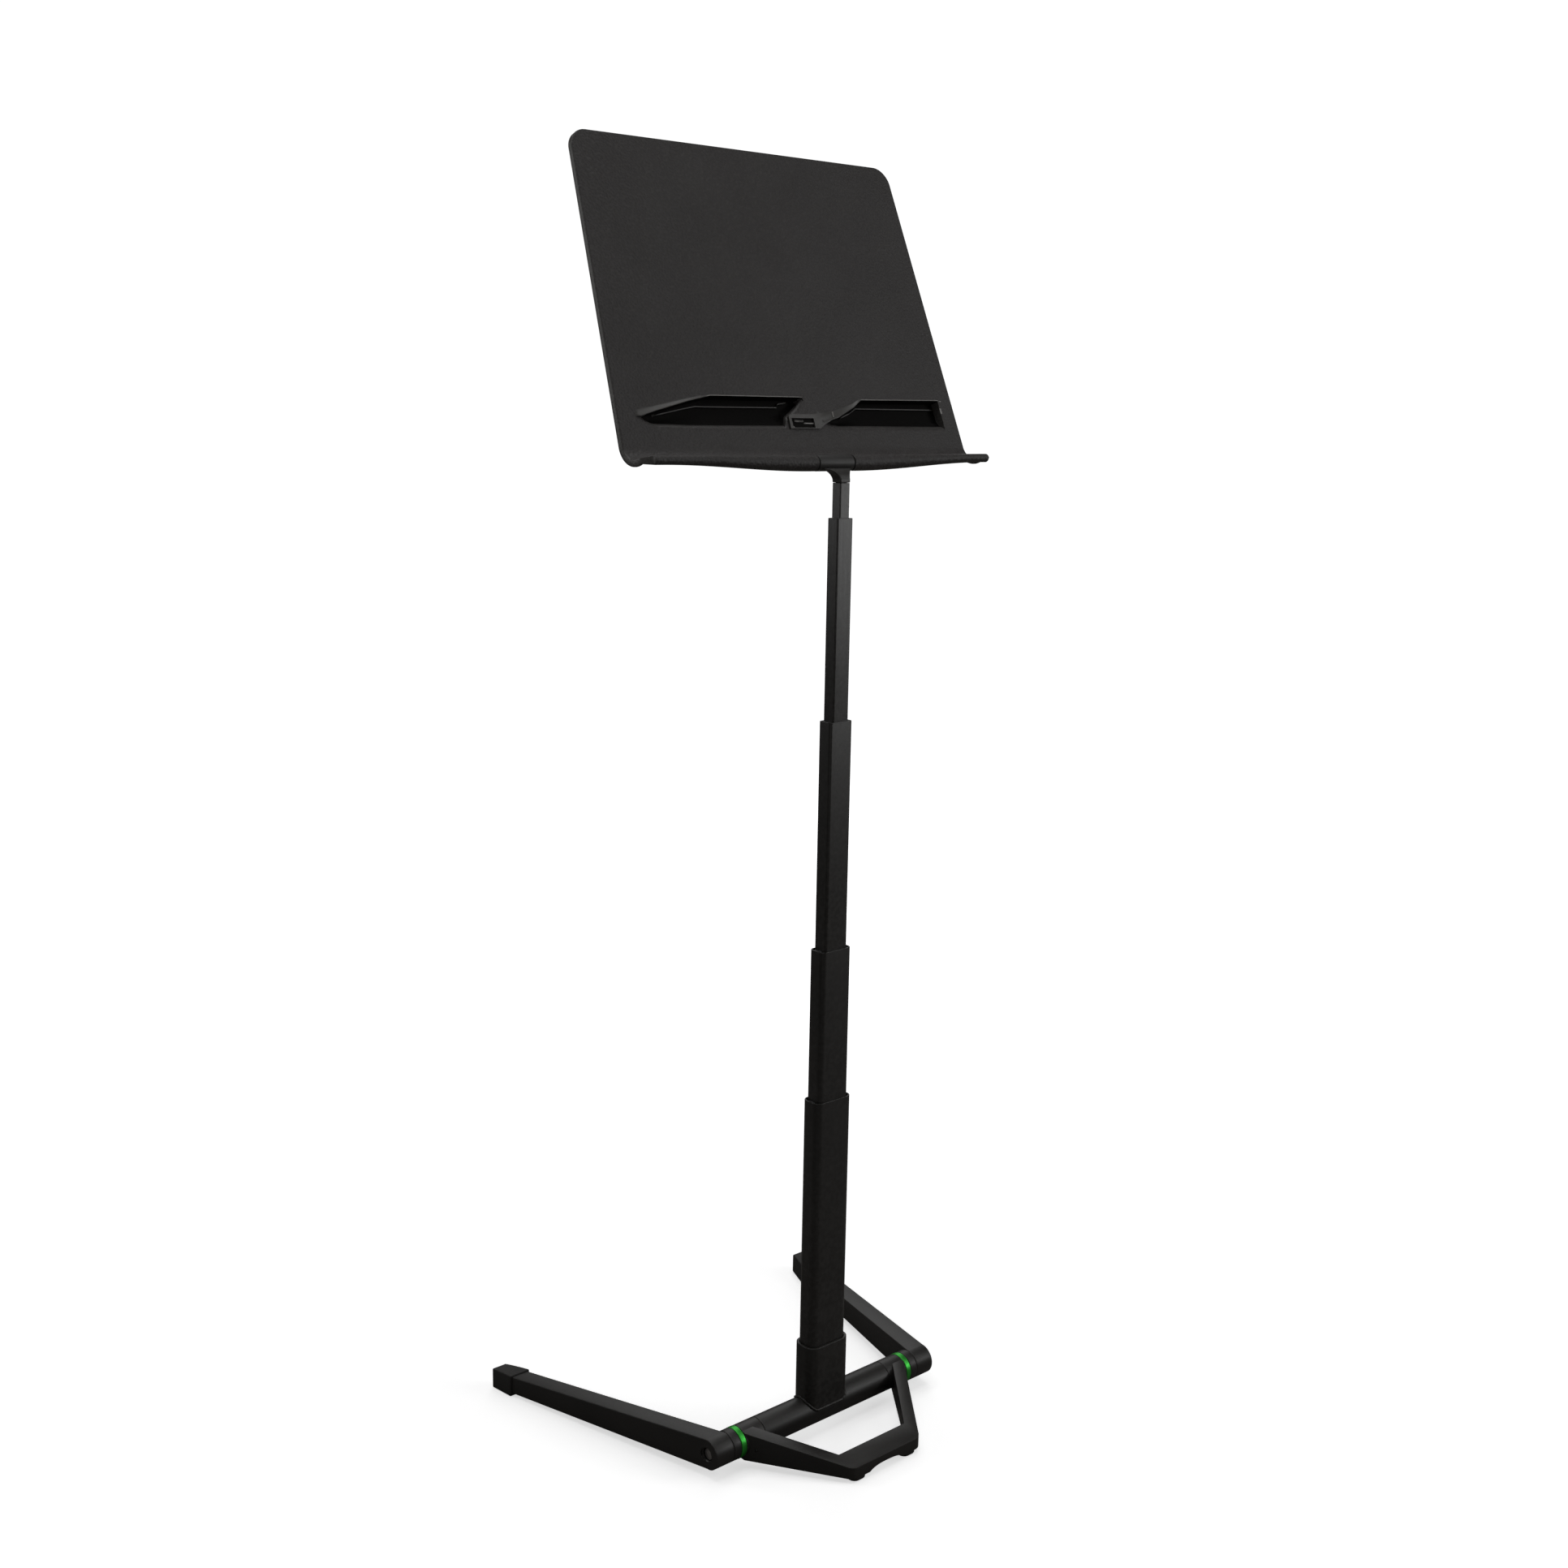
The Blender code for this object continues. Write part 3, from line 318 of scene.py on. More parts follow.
def finish(name, base, worn, rough, rough_spread, grain, pebble, bump, wear=0.3, dust=0.0, lift=0.2,
           metallic=0.0, lines=None, specular=0.5, speck=0.15):
    """A Principled finish whose colour, roughness and bump come from grain, drawn lines, rubbed edges and dust."""
    made = bpy.data.materials.new(name)
    made.use_nodes = True
    tree = made.node_tree
    shader = tree.nodes["Principled BSDF"]
    grained = placed(tree, "grain", Scale=grain, Pebble=pebble)
    worn_mask = placed(tree, "wear", Amount=wear)
    dust_mask = placed(tree, "dust", Amount=dust)
    tone = placed(tree, "tone", Base=rgba(base), Worn=rgba(worn), Broad=grained.outputs["Mask"], Lift=lift,
                  Wear=worn_mask.outputs["Mask"], Dust=dust_mask.outputs["Mask"],
                  Speck=grained.outputs["Height"], **{"Speck Amount": speck})
    tree.links.new(tone.outputs["Color"], shader.inputs["Base Color"])
    height = grained.outputs["Height"]
    if lines is not None:
        drawn = placed(tree, "drawn", Along=lines[0], Scale=lines[1])
        height = blended(tree, lines[2], height, drawn.outputs["Height"])
    spread = ranged(tree, height, 0.2, 0.8, rough - rough_spread, rough + rough_spread)
    dusty = add_node(tree, "ShaderNodeMath", {0: dust_mask.outputs["Mask"], 1: 0.35, 2: spread},
                     operation="MULTIPLY_ADD")
    tree.links.new(dusty.outputs[0], shader.inputs["Roughness"])
    bumped = add_node(tree, "ShaderNodeBump", {"Height": height, "Strength": 1.0, "Distance": bump})
    tree.links.new(bumped.outputs["Normal"], shader.inputs["Normal"])
    shader.inputs["Metallic"].default_value = metallic
    shader.inputs["Specular IOR Level"].default_value = specular
    made.diffuse_color = rgba(base)
    return made


FINISHES = {
    "coating": ("paint", (0.060, 0.057, 0.054), 0.44, 0.08, 1500.0, 0.25, 0.00005,
                dict(wear=0.35, dust=0.05, lift=0.10)),
    "mast coating": ("paint", (0.055, 0.053, 0.051), 0.40, 0.07, 1500.0, 0.2, 0.00003,
                     dict(wear=0.40, dust=0.02, lift=0.10, lines=(1.0, 900.0, 0.5))),
    "moulding": ("moulding", (0.052, 0.048, 0.046), 0.56, 0.12, 420.0, 0.55, 0.00075,
                 dict(wear=0.25, dust=0.05, lift=0.16, speck=0.55)),
    # dim painted highlight: the moulding painted lighter where the pockets' brow bands, their inner ledge and the
    # catch's frame catch light
    "moulded edge": ((0.036, 0.034, 0.031), (0.070, 0.067, 0.062), 0.42, 0.08, 900.0, 0.4, 0.00015,
                     dict(wear=0.35, lift=0.15, speck=0.2)),
    # painted lip highlight: a lighter band painted on the roll under each pocket, in place of the light it catches
    "soft edge": ((0.026, 0.024, 0.0225), (0.060, 0.056, 0.052), 0.48, 0.10, 420.0, 0.55, 0.0005,
                  dict(wear=0.2, lift=0.16, speck=0.5)),
    # rim: the plate's outward-facing rim painted lighter, a painted highlight in place of the light it catches
    "rim": ((0.058, 0.054, 0.050), (0.12, 0.115, 0.11), 0.45, 0.10, 600.0, 0.5, 0.0004, dict(speck=0.6)),
    "barrel coating": ((0.0165, 0.0150, 0.0140), (0.055, 0.053, 0.051), 0.50, 0.05, 1500.0, 0.2, 0.00002,
                       dict(wear=0.2, lift=0.10)),
    # bright painted highlight: pale colour on the brows' noses, the right-hand cheek and the catch's latch, pin and
    # rib, standing in for their highlights
    "polished edge": ((0.17, 0.165, 0.155), (0.30, 0.29, 0.28), 0.32, 0.06, 900.0, 0.4, 0.00005, dict(speck=0.2)),
    # pocket: near black with little reflection, a painted shade for recesses: the pockets' insides, the catch's
    # recess, the screw heads sunk in the hub ends and the hidden friction washers
    "pocket": ((0.0022, 0.0018, 0.0014), (0.006, 0.005, 0.004), 0.75, 0.08, 700.0, 0.4, 0.00008,
               dict(wear=0.0, specular=0.12)),
    "blackened": ((0.030, 0.029, 0.028), (0.16, 0.155, 0.15), 0.42, 0.10, 1800.0, 0.3, 0.00002,
                  dict(wear=0.5, lift=0.1, metallic=1.0)),
    "ring": ("ring", (0.30, 0.80, 0.25), 0.40, 0.04, 1500.0, 0.2, 0.000003,
             dict(wear=0.2, lift=0.05, speck=0.05, metallic=0.85, lines=(0.0, 1600.0, 0.5))),
    "rubber": ("rubber", (0.050, 0.047, 0.044), 0.66, 0.09, 1100.0, 0.5, 0.00010, dict(dust=0.10, lift=0.25)),
    "steel": ("steel", (0.55, 0.54, 0.52), 0.34, 0.10, 1800.0, 0.3, 0.00002,
              dict(wear=0.5, lift=0.15, metallic=1.0, lines=(0.0, 1200.0, 0.5))),
    "nylon": ("nylon", (0.12, 0.12, 0.12), 0.46, 0.08, 1300.0, 0.4, 0.00004, dict(wear=0.2, dust=0.05)),
}


def finish_named(name):
    """One of the stand's finishes; all of them are made at the first call."""
    if name not in bpy.data.materials:
        for key, (base, *values, extra) in FINISHES.items():
            if isinstance(base, str):
                base = tuple(getattr(settings().finish, base))
            finish(key, base, *values, **extra)
    return bpy.data.materials[name]


# ================================================================ meshes from arrays
def grid_faces(rows, columns, wrap_rows, wrap_columns):
    """Index quads over a grid of points, joined round in either direction."""
    index = np.arange(rows * columns).reshape(rows, columns)
    if wrap_rows:
        index = np.vstack([index, index[:1]])
    if wrap_columns:
        index = np.hstack([index, index[:, :1]])
    return np.stack([index[:-1, :-1], index[:-1, 1:], index[1:, 1:], index[1:, :-1]], -1).reshape(-1, 4)


SHARP = 32.0        # faces that meet more sharply than this, in degrees, keep a hard edge


def make_piece(name, points, faces, finish_name, body, slot, nodes=(), sharp=SHARP):
    """A shaded mesh piece that rides on a body and may stand for frame nodes."""
    mesh = bpy.data.meshes.new(name)
    mesh.from_pydata(np.asarray(points, float).reshape(-1, 3).tolist(), [], [list(map(int, f)) for f in faces])
    work = bmesh.new()
    work.from_mesh(mesh)
    bmesh.ops.remove_doubles(work, verts=work.verts, dist=1e-7)
    bmesh.ops.recalc_face_normals(work, faces=work.faces)
    work.to_mesh(mesh)
    work.free()
    piece = bpy.data.objects.new(name, mesh)
    bpy.context.scene.collection.objects.link(piece)
    if finish_name:
        mesh.materials.append(finish_named(finish_name))
    shade(piece, sharp)
    if body:
        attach(piece, body)
    if nodes:
        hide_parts(*nodes)
    return piece


def shade(piece, sharp):
    """Smooth shading, broken where faces meet more sharply than the angle in degrees."""
    piece.data.shade_smooth()
    piece.data.set_sharp_from_angle(angle=math.radians(sharp))


def grid_piece(name, grid, *args, wrap_rows=False, capped=False):
    """A piece over a grid of points joined round each row; capped closes the first and last row with a face."""
    rows, columns = grid.shape[:2]
    faces = grid_faces(rows, columns, wrap_rows, True).tolist()
    if capped:
        faces += [list(range(columns))[::-1], [(rows - 1) * columns + k for k in range(columns)]]
    return make_piece(name, grid, faces, *args)


def settle(piece):
    """Makes a piece's modifiers its mesh, then shades it again."""
    graph = bpy.context.evaluated_depsgraph_get()
    mesh = bpy.data.meshes.new_from_object(piece.evaluated_get(graph))
    piece.modifiers.clear()
    old = piece.data
    piece.data = mesh
    bpy.data.meshes.remove(old)
    shade(piece, SHARP)


def bevelled(piece, width, segments=3, angle=28.0):
    """Rounds a piece's edges with a bevel and settles it."""
    step = piece.modifiers.new("round", "BEVEL")
    step.width = width
    step.segments = segments
    step.limit_method = "ANGLE"
    step.angle_limit = math.radians(angle)
    settle(piece)


def cut(piece, tool):
    """Cuts a tool's shape away from a piece and removes the tool."""
    step = piece.modifiers.new("cut", "BOOLEAN")
    step.operation = "DIFFERENCE"
    step.solver = "EXACT"
    step.object = tool
    settle(piece)
    bpy.data.objects.remove(tool, do_unlink=True)


# ================================================================ profiles
def rounded_outline(width, depth, corner, steps):
    """Plan points of a rounded rectangle: four quarter circles joined by straight sides."""
    quarter = np.linspace(0.0, math.pi / 2, steps + 1)
    angles = np.concatenate([quarter + k * math.pi / 2 for k in range(4)])
    side_x = np.repeat([1, -1, -1, 1], steps + 1) * (width / 2 - corner)
    side_y = np.repeat([1, 1, -1, -1], steps + 1) * (depth / 2 - corner)
    return np.stack([side_x + corner * np.cos(angles), side_y + corner * np.sin(angles)], -1)


def carried_outline(width, depth, corner, profile, steps=12):
    """A rounded rectangle carried up a profile of (inset, height) pairs, shrunk by each inset."""
    rings = []
    for inset, height in profile:
        plan = rounded_outline(width - 2 * inset, depth - 2 * inset, max(corner - inset, 0.0002), steps)
        rings.append(np.column_stack([plan[:, 0], plan[:, 1] + BASE_Y, np.full(len(plan), height)]))
    return np.stack(rings)


def quarter_turn(radius, steps):
    """Across and along offsets of a quarter circle about its centre, from across to along."""
    angle = np.linspace(0.0, math.pi / 2, steps + 1)
    return radius * np.cos(angle), radius * np.sin(angle)


def turned(profile, centre, steps=72):
    """A profile of (place, radius) pairs turned about an X axis through the centre."""
    profile = np.asarray(profile, float)
    angle = np.linspace(0.0, 2 * math.pi, steps, endpoint=False)
    x = np.repeat(profile[:, :1], steps, 1)
    y = centre[1] + profile[:, 1:] * np.cos(angle)
    z = centre[2] + profile[:, 1:] * np.sin(angle)
    return np.stack([x, y, z], -1)


def rounded_profile(start, end, radius, edge, steps=5):
    """(place, radius) pairs of a turned piece's outside with both corners rounded by edge."""
    across, along = quarter_turn(edge, steps)
    sign = math.copysign(1.0, end - start)
    first = np.stack([start + sign * (edge - across), radius - edge + along], -1)
    last = np.stack([end - sign * (edge - across), radius - edge + along], -1)[::-1]
    return np.concatenate([first, last])


# ================================================================ tray
POCKET_X = (-0.2400, -0.2050, -0.2030, -0.1860, -0.1430, -0.1138, -0.0215, -0.0180, 0.0000, 0.0076, 0.0290, 0.0315,
            0.0515, 0.0776, 0.0901, 0.2080, 0.2400)
POCKET_FLOOR = (0.0575, 0.0575, 0.0572, 0.0533, 0.0522, 0.0521, 0.0524, 0.0610, 0.0730, 0.0790, 0.0535, 0.0528,
                0.0526, 0.0526, 0.0526, 0.0526, 0.0526)
POCKET_ROOF = (0.0579, 0.0579, 0.0579, 0.0628, 0.0736, 0.0796, 0.0797, 0.0797, 0.0797, 0.0797, 0.0540, 0.0534,
               0.0586, 0.0702, 0.0781, 0.0792, 0.0792)
POCKET_BROW = (0.0650, 0.0650, 0.0654, 0.0686, 0.0768, 0.0816, 0.0815, 0.0815, 0.0813, 0.0813, 0.0640, 0.0625,
               0.0672, 0.0747, 0.0799, 0.0810, 0.0810)
POCKET_LEDGE = 0.0196        # height of a pocket's inner ledge above its floor
POCKET_WALL = 0.0016         # thickness behind a pocket
LEDGE_HALF = 0.0006          # half the ledge's height
LEDGE_SHARE = 0.20           # how far the ledge stands out of the pocket's back, as a share of its depth
LEDGE_ROOM = 0.0022          # no ledge where the roof comes closer to it than this
RIGHT_END = 0.2080           # where the right-hand pocket ends in a straight cheek
KNUCKLE_HALF = 0.030         # the lip is as thick as the knuckle up to here, on either side of the middle
POCKET_ROLL = 0.0085         # height over which a pocket's lower edge rolls in
NOTCH = ((-0.0245, -0.030, -0.030), (0.0245, 0.034, 0.0118))     # room for the head between the knuckles
EDGE_STEPS = (0.0, 0.00012, 0.00032, 0.0006, 0.0009, 0.0013, 0.0018, 0.0024, 0.0029, 0.0033, 0.0038, 0.0045,
              0.006, 0.008, 0.0105, 0.013, 0.016, 0.019)         # distances from an edge, dense over its rounding


def smooth_step(value, low, high):
    """0 below low, 1 above high, eased between them."""
    share = np.clip((value - low) / (high - low), 0.0, 1.0)
    return share * share * (3.0 - 2.0 * share)


def ledge_level(floor, roof):
    """Height of the thin ledge inside the pockets: level, and under the roof where that comes down."""
    return floor + np.minimum(POCKET_LEDGE, (roof - floor) * 0.8)


def fold_centre(tray):
    """Centre of the fold behind and above the hinge axis, so that the lip's top face is tangent to the knuckle."""
    back = tray.offset - tray.fold
    return back, (tray.knuckle + tray.fold + back * math.sin(tray.lip_fall)) / math.cos(tray.lip_fall)


def tray_columns(tray):
    """Places across the tray as shares of the half width, dense at the sides and at the pockets' ends."""
    edge = np.array([*EDGE_STEPS, 0.0225])
    half = tray.width / 2
    inner = np.arange(-0.2085, 0.2086, 0.0030)
    knots = np.array([-0.2050, -0.2030, -0.1138, -0.0215, -0.0180, 0.0076, 0.0290, 0.0315, 0.0515, 0.0901, 0.2070,
                      0.2078, 0.2082])
    inner = np.concatenate([inner[np.min(np.abs(inner[:, None] - knots), 1) > 0.0008], knots])
    return np.unique(np.concatenate([-(half - edge), inner, half - edge])) / half


def tray_rows(tray, x_share):
    """Heights up the plate for each column: even below the pockets, then following the pockets' edges, then even."""
    x = x_share * tray.width / 2
    low = np.full_like(x, fold_centre(tray)[1])
    floor, roof, brow = (np.interp(x, POCKET_X, line) for line in (POCKET_FLOOR, POCKET_ROOF, POCKET_BROW))
    rows = [tray.height - d + np.zeros_like(x) for d in EDGE_STEPS]
    rows += [h + np.zeros_like(x) for h in np.linspace(tray.height - 0.024, 0.086, 48)]
    rows += [brow + 0.0020, brow]
    rows += [brow + (roof + 0.0006 - brow) * s for s in (0.25, 0.6, 0.92, 1.0)] + [roof]
    rows += [roof - 0.00018 * k for k in (1, 2)]
    ledge = ledge_level(floor, roof)
    rows += [roof + (ledge - roof) * s for s in (0.35, 0.8)]
    rows += [ledge + d for d in (0.0008, 0.0005, 0.0, -0.0005, -0.0008)]
    rows += [ledge - 0.0008 + (floor + 0.0045 - ledge) * s for s in (0.4, 0.8)]
    for high, base, count in ((floor + 0.0002, floor - POCKET_ROLL, 14), (floor - POCKET_ROLL, low, 3)):
        rows += [high + (base - high) * s for s in np.linspace(0.0, 1.0, count, endpoint=False)]
    rows.append(low)
    return np.maximum(np.minimum.accumulate(np.stack(rows), 0), low)


def pocket_relief(tray, x, up):
    """Depth of the front face behind the plate: pockets whose floor rolls in over a super-ellipse, a thin ledge
    inside them, and a brow above them that comes proud in a straight slope.
    """
    floor, roof, brow = (np.interp(x, POCKET_X, line) for line in (POCKET_FLOOR, POCKET_ROOF, POCKET_BROW))
    left = smooth_step(x, -0.2065, -0.1970) * (1.0 - smooth_step(x, 0.0030, 0.0076))
    right = smooth_step(x, 0.0295, 0.0380) * (x < RIGHT_END)
    lip = np.clip((up - (floor - POCKET_ROLL)) / (POCKET_ROLL + 0.0007), 0.0, 1.0)
    rolled = 1.0 - np.sqrt(np.clip(1.0 - lip ** 2.4, 0.0, 1.0))
    ledge = ledge_level(floor, roof)
    bead = LEDGE_SHARE * (np.abs(up - ledge) < LEDGE_HALF) * (roof - ledge > LEDGE_ROOM)
    inside = (left + right) * rolled * (1.0 - bead) * (up < roof - 0.00009) * np.minimum((roof - floor) / 0.008, 1.0)
    nose = np.maximum(brow - roof - 0.0006, 1e-5)
    brow_share = np.clip((brow - up) / nose, 0.0, 1.0) * (up > roof - 0.00009)
    reach = smooth_step(x, -0.2075, -0.2055) * (1.0 - smooth_step(x, 0.0071, 0.0084))
    reach = reach + smooth_step(x, 0.0265, 0.0290) * (1.0 - smooth_step(x, 0.2070, 0.2085))
    return tray.pocket_depth * inside - tray.hood * brow_share * reach


def edge_distance(tray, share, up, half):
    """Distance from the plate's rounded outline, and the point moved so that grid corners follow the corner arcs."""
    side = (1.0 - np.abs(share)) * half
    top = tray.height - up
    radius = tray.corner
    across, along = np.clip(1.0 - side / radius, 0.0, 1.0), np.clip(1.0 - top / radius, 0.0, 1.0)
    across_disc = across * np.sqrt(1.0 - along ** 2 / 2)
    along_disc = along * np.sqrt(1.0 - across ** 2 / 2)
    in_corner = (side < radius) & (top < radius)
    moved_up = np.where(in_corner, tray.height - radius + radius * along_disc, up)
    moved_side = np.where(in_corner, radius * (1.0 - across_disc), side)
    distance = np.where(in_corner, radius * (1.0 - np.hypot(across_disc, along_disc)), np.minimum(side, top))
    return distance, moved_side, moved_up


def rim_faces(tray, distance):
    """Front drop and back depth of the tray's section at a distance from its edge: round corners and a rim."""
    inside = np.clip(1.0 - distance / tray.edge, 0.0, 1.0)
    drop = tray.edge * (1.0 - np.sqrt(np.clip(1.0 - inside ** 2, 0.0, 1.0)))
    rim = 1.0 - smooth_step(distance, tray.rim_width - 0.0002, tray.rim_width + 0.0008)
    return drop, tray.panel + (tray.rim - tray.panel) * rim - drop


def tray_surface(tray):
    """Front and back grids of the tray: plate, fold, lip and the bead that swells into the hinge knuckles."""
    share = tray_columns(tray)
    back, centre_up = fold_centre(tray)
    rows = tray_rows(tray, share)
    u = np.repeat(share[None, :], len(rows), 0)
    taper = np.clip((rows - centre_up) / (tray.height - centre_up), 0.0, 1.0)
    half = (tray.width + (tray.top_width - tray.width) * taper) / 2
    distance, side, up = edge_distance(tray, u, rows, half)
    taper = np.clip((up - centre_up) / (tray.height - centre_up), 0.0, 1.0)
    half = (tray.width + (tray.top_width - tray.width) * taper) / 2
    x = np.sign(u) * (half - side)
    drop, depth = rim_faces(tray, distance)
    relief = pocket_relief(tray, u * tray.width / 2, rows)
    front = np.stack([x, tray.offset + drop + relief, up], -1)
    rear = np.stack([x, tray.offset + np.maximum(depth, relief + POCKET_WALL), up], -1)
    lower_front, lower_rear = lip_surface(tray, share, back, centre_up)
    return np.concatenate([front, lower_front]), np.concatenate([rear, lower_rear])


def lip_surface(tray, share, back, centre_up):
    """The fold as an arc about its centre, then a straight lip, then half a round bead, column by column."""
    half = tray.width / 2
    side = (1.0 - np.abs(share)) * half
    drop, depth = rim_faces(tray, side)
    fall = tray.lip_fall
    front, rear = [], []
    for angle in -np.linspace(0.0, math.pi / 2 + fall, 25)[1:]:
        for points, radius in ((front, tray.fold + drop), (rear, tray.fold + depth)):
            points.append(np.stack([share * half, back + radius * np.cos(angle),
                                    centre_up + radius * np.sin(angle)], -1))
    tip = half - tray.lip_inset
    away = np.clip((np.abs(share) * half - KNUCKLE_HALF) / (tip - KNUCKLE_HALF), 0.0, 1.0)
    swell = 0.5 + 0.5 * np.cos(math.pi * away)
    radius = tray.bead + (tray.knuckle - tray.bead) * swell
    reach = tray.bead_reach + (tray.knuckle - tray.bead_reach) * swell
    along = reach - radius
    inset = tray.knuckle - radius
    centre_y = -along * math.cos(fall) - inset * math.sin(fall)
    centre_z = -along * math.sin(fall) + inset * math.cos(fall)
    shrink = np.minimum(drop, radius * 0.8)
    nose = {1: [], -1: []}
    for turn in np.linspace(0.0, math.pi / 2, 11):
        for sign in (1, -1):
            angle = math.pi + fall - sign * (math.pi / 2 - turn)
            round_share = radius - shrink * math.cos(turn)
            nose[sign].append(np.stack([share * tip, centre_y + round_share * math.cos(angle),
                                        centre_z + round_share * math.sin(angle)], -1))
    for points, sign in ((front, 1), (rear, -1)):
        start, end = points[-1], nose[sign][0]
        for step in np.linspace(0.0, 1.0, 10)[1:-1]:
            ease = step if sign == 1 else step ** 1.15
            points.append(start + (end - start) * ease)
        points.extend(nose[sign])
    return np.stack(front), np.stack(rear)


def tray_to_world(tray, points):
    """Turns plate coordinates (across, behind, up the plate) back by the lean and moves them to the hinge axis."""
    cos, sin = math.cos(tray.lean), math.sin(tray.lean)
    x, y, z = points[..., 0], points[..., 1], points[..., 2]
    return np.stack([x + TILT_AXIS[0], y * cos + z * sin + TILT_AXIS[1], -y * sin + z * cos + TILT_AXIS[2]], -1)


def block(name, low, high, *args, place=None):
    """A plain block between two corners, moved by place where one is given."""
    low, high = np.array(low, float), np.array(high, float)
    corners = np.array([[x, y, z] for z in (0, 1) for y in (0, 1) for x in (0, 1)], float)
    points = low + corners * (high - low)
    if place:
        points = place(points)
    faces = [(0, 2, 3, 1), (4, 5, 7, 6), (0, 1, 5, 4), (2, 6, 7, 3), (0, 4, 6, 2), (1, 3, 7, 5)]
    return make_piece(name, points, faces, *args)


class STAND_OT_tray(Operator):
    """Build the tray: one moulding with a rim, two pockets, a fold and a lip that swells into the hinge"""
    bl_idname = "stand.tray"
    bl_label = "Tray"

    def execute(self, context):
        """Both faces are grids over the same rows and columns, joined round the outline."""
        tray = settings().tray
        front, rear = tray_surface(tray)
        loop = np.concatenate([front, rear[::-1]])
        rows, columns = loop.shape[:2]
        faces = grid_faces(rows, columns, True, False).tolist()
        depth = len(front)
        index = np.arange(rows * columns).reshape(rows, columns)
        for column in (0, columns - 1):
            line = index[:, column]
            near, far = line[:depth], line[depth:][::-1]
            faces += np.stack([near[:-1], near[1:], far[1:], far[:-1]], -1).tolist()
        desk = make_piece("tray", tray_to_world(tray, loop), faces, "moulding", "tray", "black_moulding",
                          ["tray_desk"], sharp=50.0)
        cut(desk, block("notch", *NOTCH, None, None, None, place=lambda points: tray_to_world(tray, points)))
        shade(desk, 50.0)
        # extra finishes: the painted shade of the pockets and the painted highlights of brows, ledge, lower lip and
        # rim
        for key in ("pocket", "moulded edge", "polished edge", "soft edge", "rim"):
            desk.data.materials.append(finish_named(key))
        self.tell_apart(tray, desk.data)
        return {"FINISHED"}

    def tell_apart(self, tray, mesh):
        """Faces inside the pockets get a near-black painted shade; their brows, the ledge, the lower lip and the rim
        are smoother, and lighter as painted highlights.
        """
        centre, normal = (self.plate_vectors(tray, mesh, key) for key in ("center", "normal"))
        behind, up, x = centre[:, 1] - tray.offset, centre[:, 2], centre[:, 0]
        floor, roof, brow = (np.interp(x, POCKET_X, line) for line in (POCKET_FLOOR, POCKET_ROOF, POCKET_BROW))
        near = (up > 0.045) & (up < 0.0835) & (np.abs(x) < 0.2100) & (behind < tray.pocket_depth + 0.0005)
        # faces inside the pockets get the pocket finish, a painted shade
        inside = near & (normal[:, 1] < 0.35) & ((behind > 0.0042) | ((behind > 0.0012) & (up > floor + 0.0015)))
        # the brow band over each pocket and the ledge inside it get the dim painted highlight
        band = near & (behind < -0.00004) & (up < brow + 0.0003)
        level = ledge_level(floor, roof)
        ledge = inside & (np.abs(up - level) < LEDGE_HALF + 0.00002) & (roof - level > LEDGE_ROOM)
        # the brows' noses and the right-hand cheek get the bright painted highlight
        nose = near & (behind < -0.8 * tray.hood) & (up < roof + 0.0008) & ((roof > 0.0790) | (x > 0.0885))
        cheek = (np.abs(x - RIGHT_END) < 0.0011) & (up > floor + 0.012) & (up < roof + 0.0006) & (behind < 0.002)
        outward = np.abs(normal[:, 0]) > 0.55
        # the outward-facing rim at the plate's sides gets the rim finish, a painted highlight
        rim = outward & (up > 0.0) & (np.abs(x) > 0.205) & (behind < tray.rim + 0.0002)
        # the roll under each pocket gets the painted lip highlight
        lit = near & (behind > 0.0006) & (behind < 0.0042) & (up < floor + 0.0014) & (normal[:, 1] < -0.1)
        choice = ((nose | cheek, "polished edge"), (rim, "rim"), (band | ledge, "moulded edge"),
                  (inside, "pocket"), (lit, "soft edge"))
        slots = [material.name for material in mesh.materials]
        index = np.select([mask for mask, key in choice], [slots.index(key) for mask, key in choice], 0)
        mesh.polygons.foreach_set("material_index", index.astype(np.int32))

    def plate_vectors(self, tray, mesh, key):
        """Face centres or normals turned into plate coordinates."""
        values = np.empty(len(mesh.polygons) * 3)
        mesh.polygons.foreach_get(key, values)
        values = values.reshape(-1, 3) - (TILT_AXIS if key == "center" else 0.0)
        cos, sin = math.cos(tray.lean), math.sin(tray.lean)
        return np.stack([values[:, 0], values[:, 1] * cos - values[:, 2] * sin,
                         values[:, 1] * sin + values[:, 2] * cos], -1)


# the catch's frame and recess as (across, up the plate) corners, and its raised bars as name, finish, two places
# across, two levels and how far the bar stands proud of the plate
CATCH_FRAME = ((-0.0165, 0.0468), (0.0240, 0.0468), (0.0308, 0.0512), (0.0471, 0.0584),
               (0.0446, 0.0664), (0.0175, 0.0622), (-0.0120, 0.0622), (-0.0165, 0.0595))
CATCH_RECESS = ((-0.0127, 0.0477), (0.0167, 0.0477), (0.0167, 0.0500), (0.0167, 0.0530),
                (0.0167, 0.0555), (0.0167, 0.0577), (-0.0127, 0.0577), (-0.0127, 0.0560))
# the latch, pin and rib are painted pale as bright highlights; the block is blackened steel
CATCH_BARS = (("catch_latch", "polished edge", 0.0030, 0.0160, 0.0520, 0.0533, 0.0010),
              ("catch_block", "blackened", -0.0095, 0.0030, 0.0538, 0.0564, 0.0010),
              ("catch_pin", "polished edge", -0.0122, -0.0106, 0.0480, 0.0495, 0.0010),
              ("catch_rib", "polished edge", 0.0436, 0.0452, 0.0590, 0.0650, 0.0024))


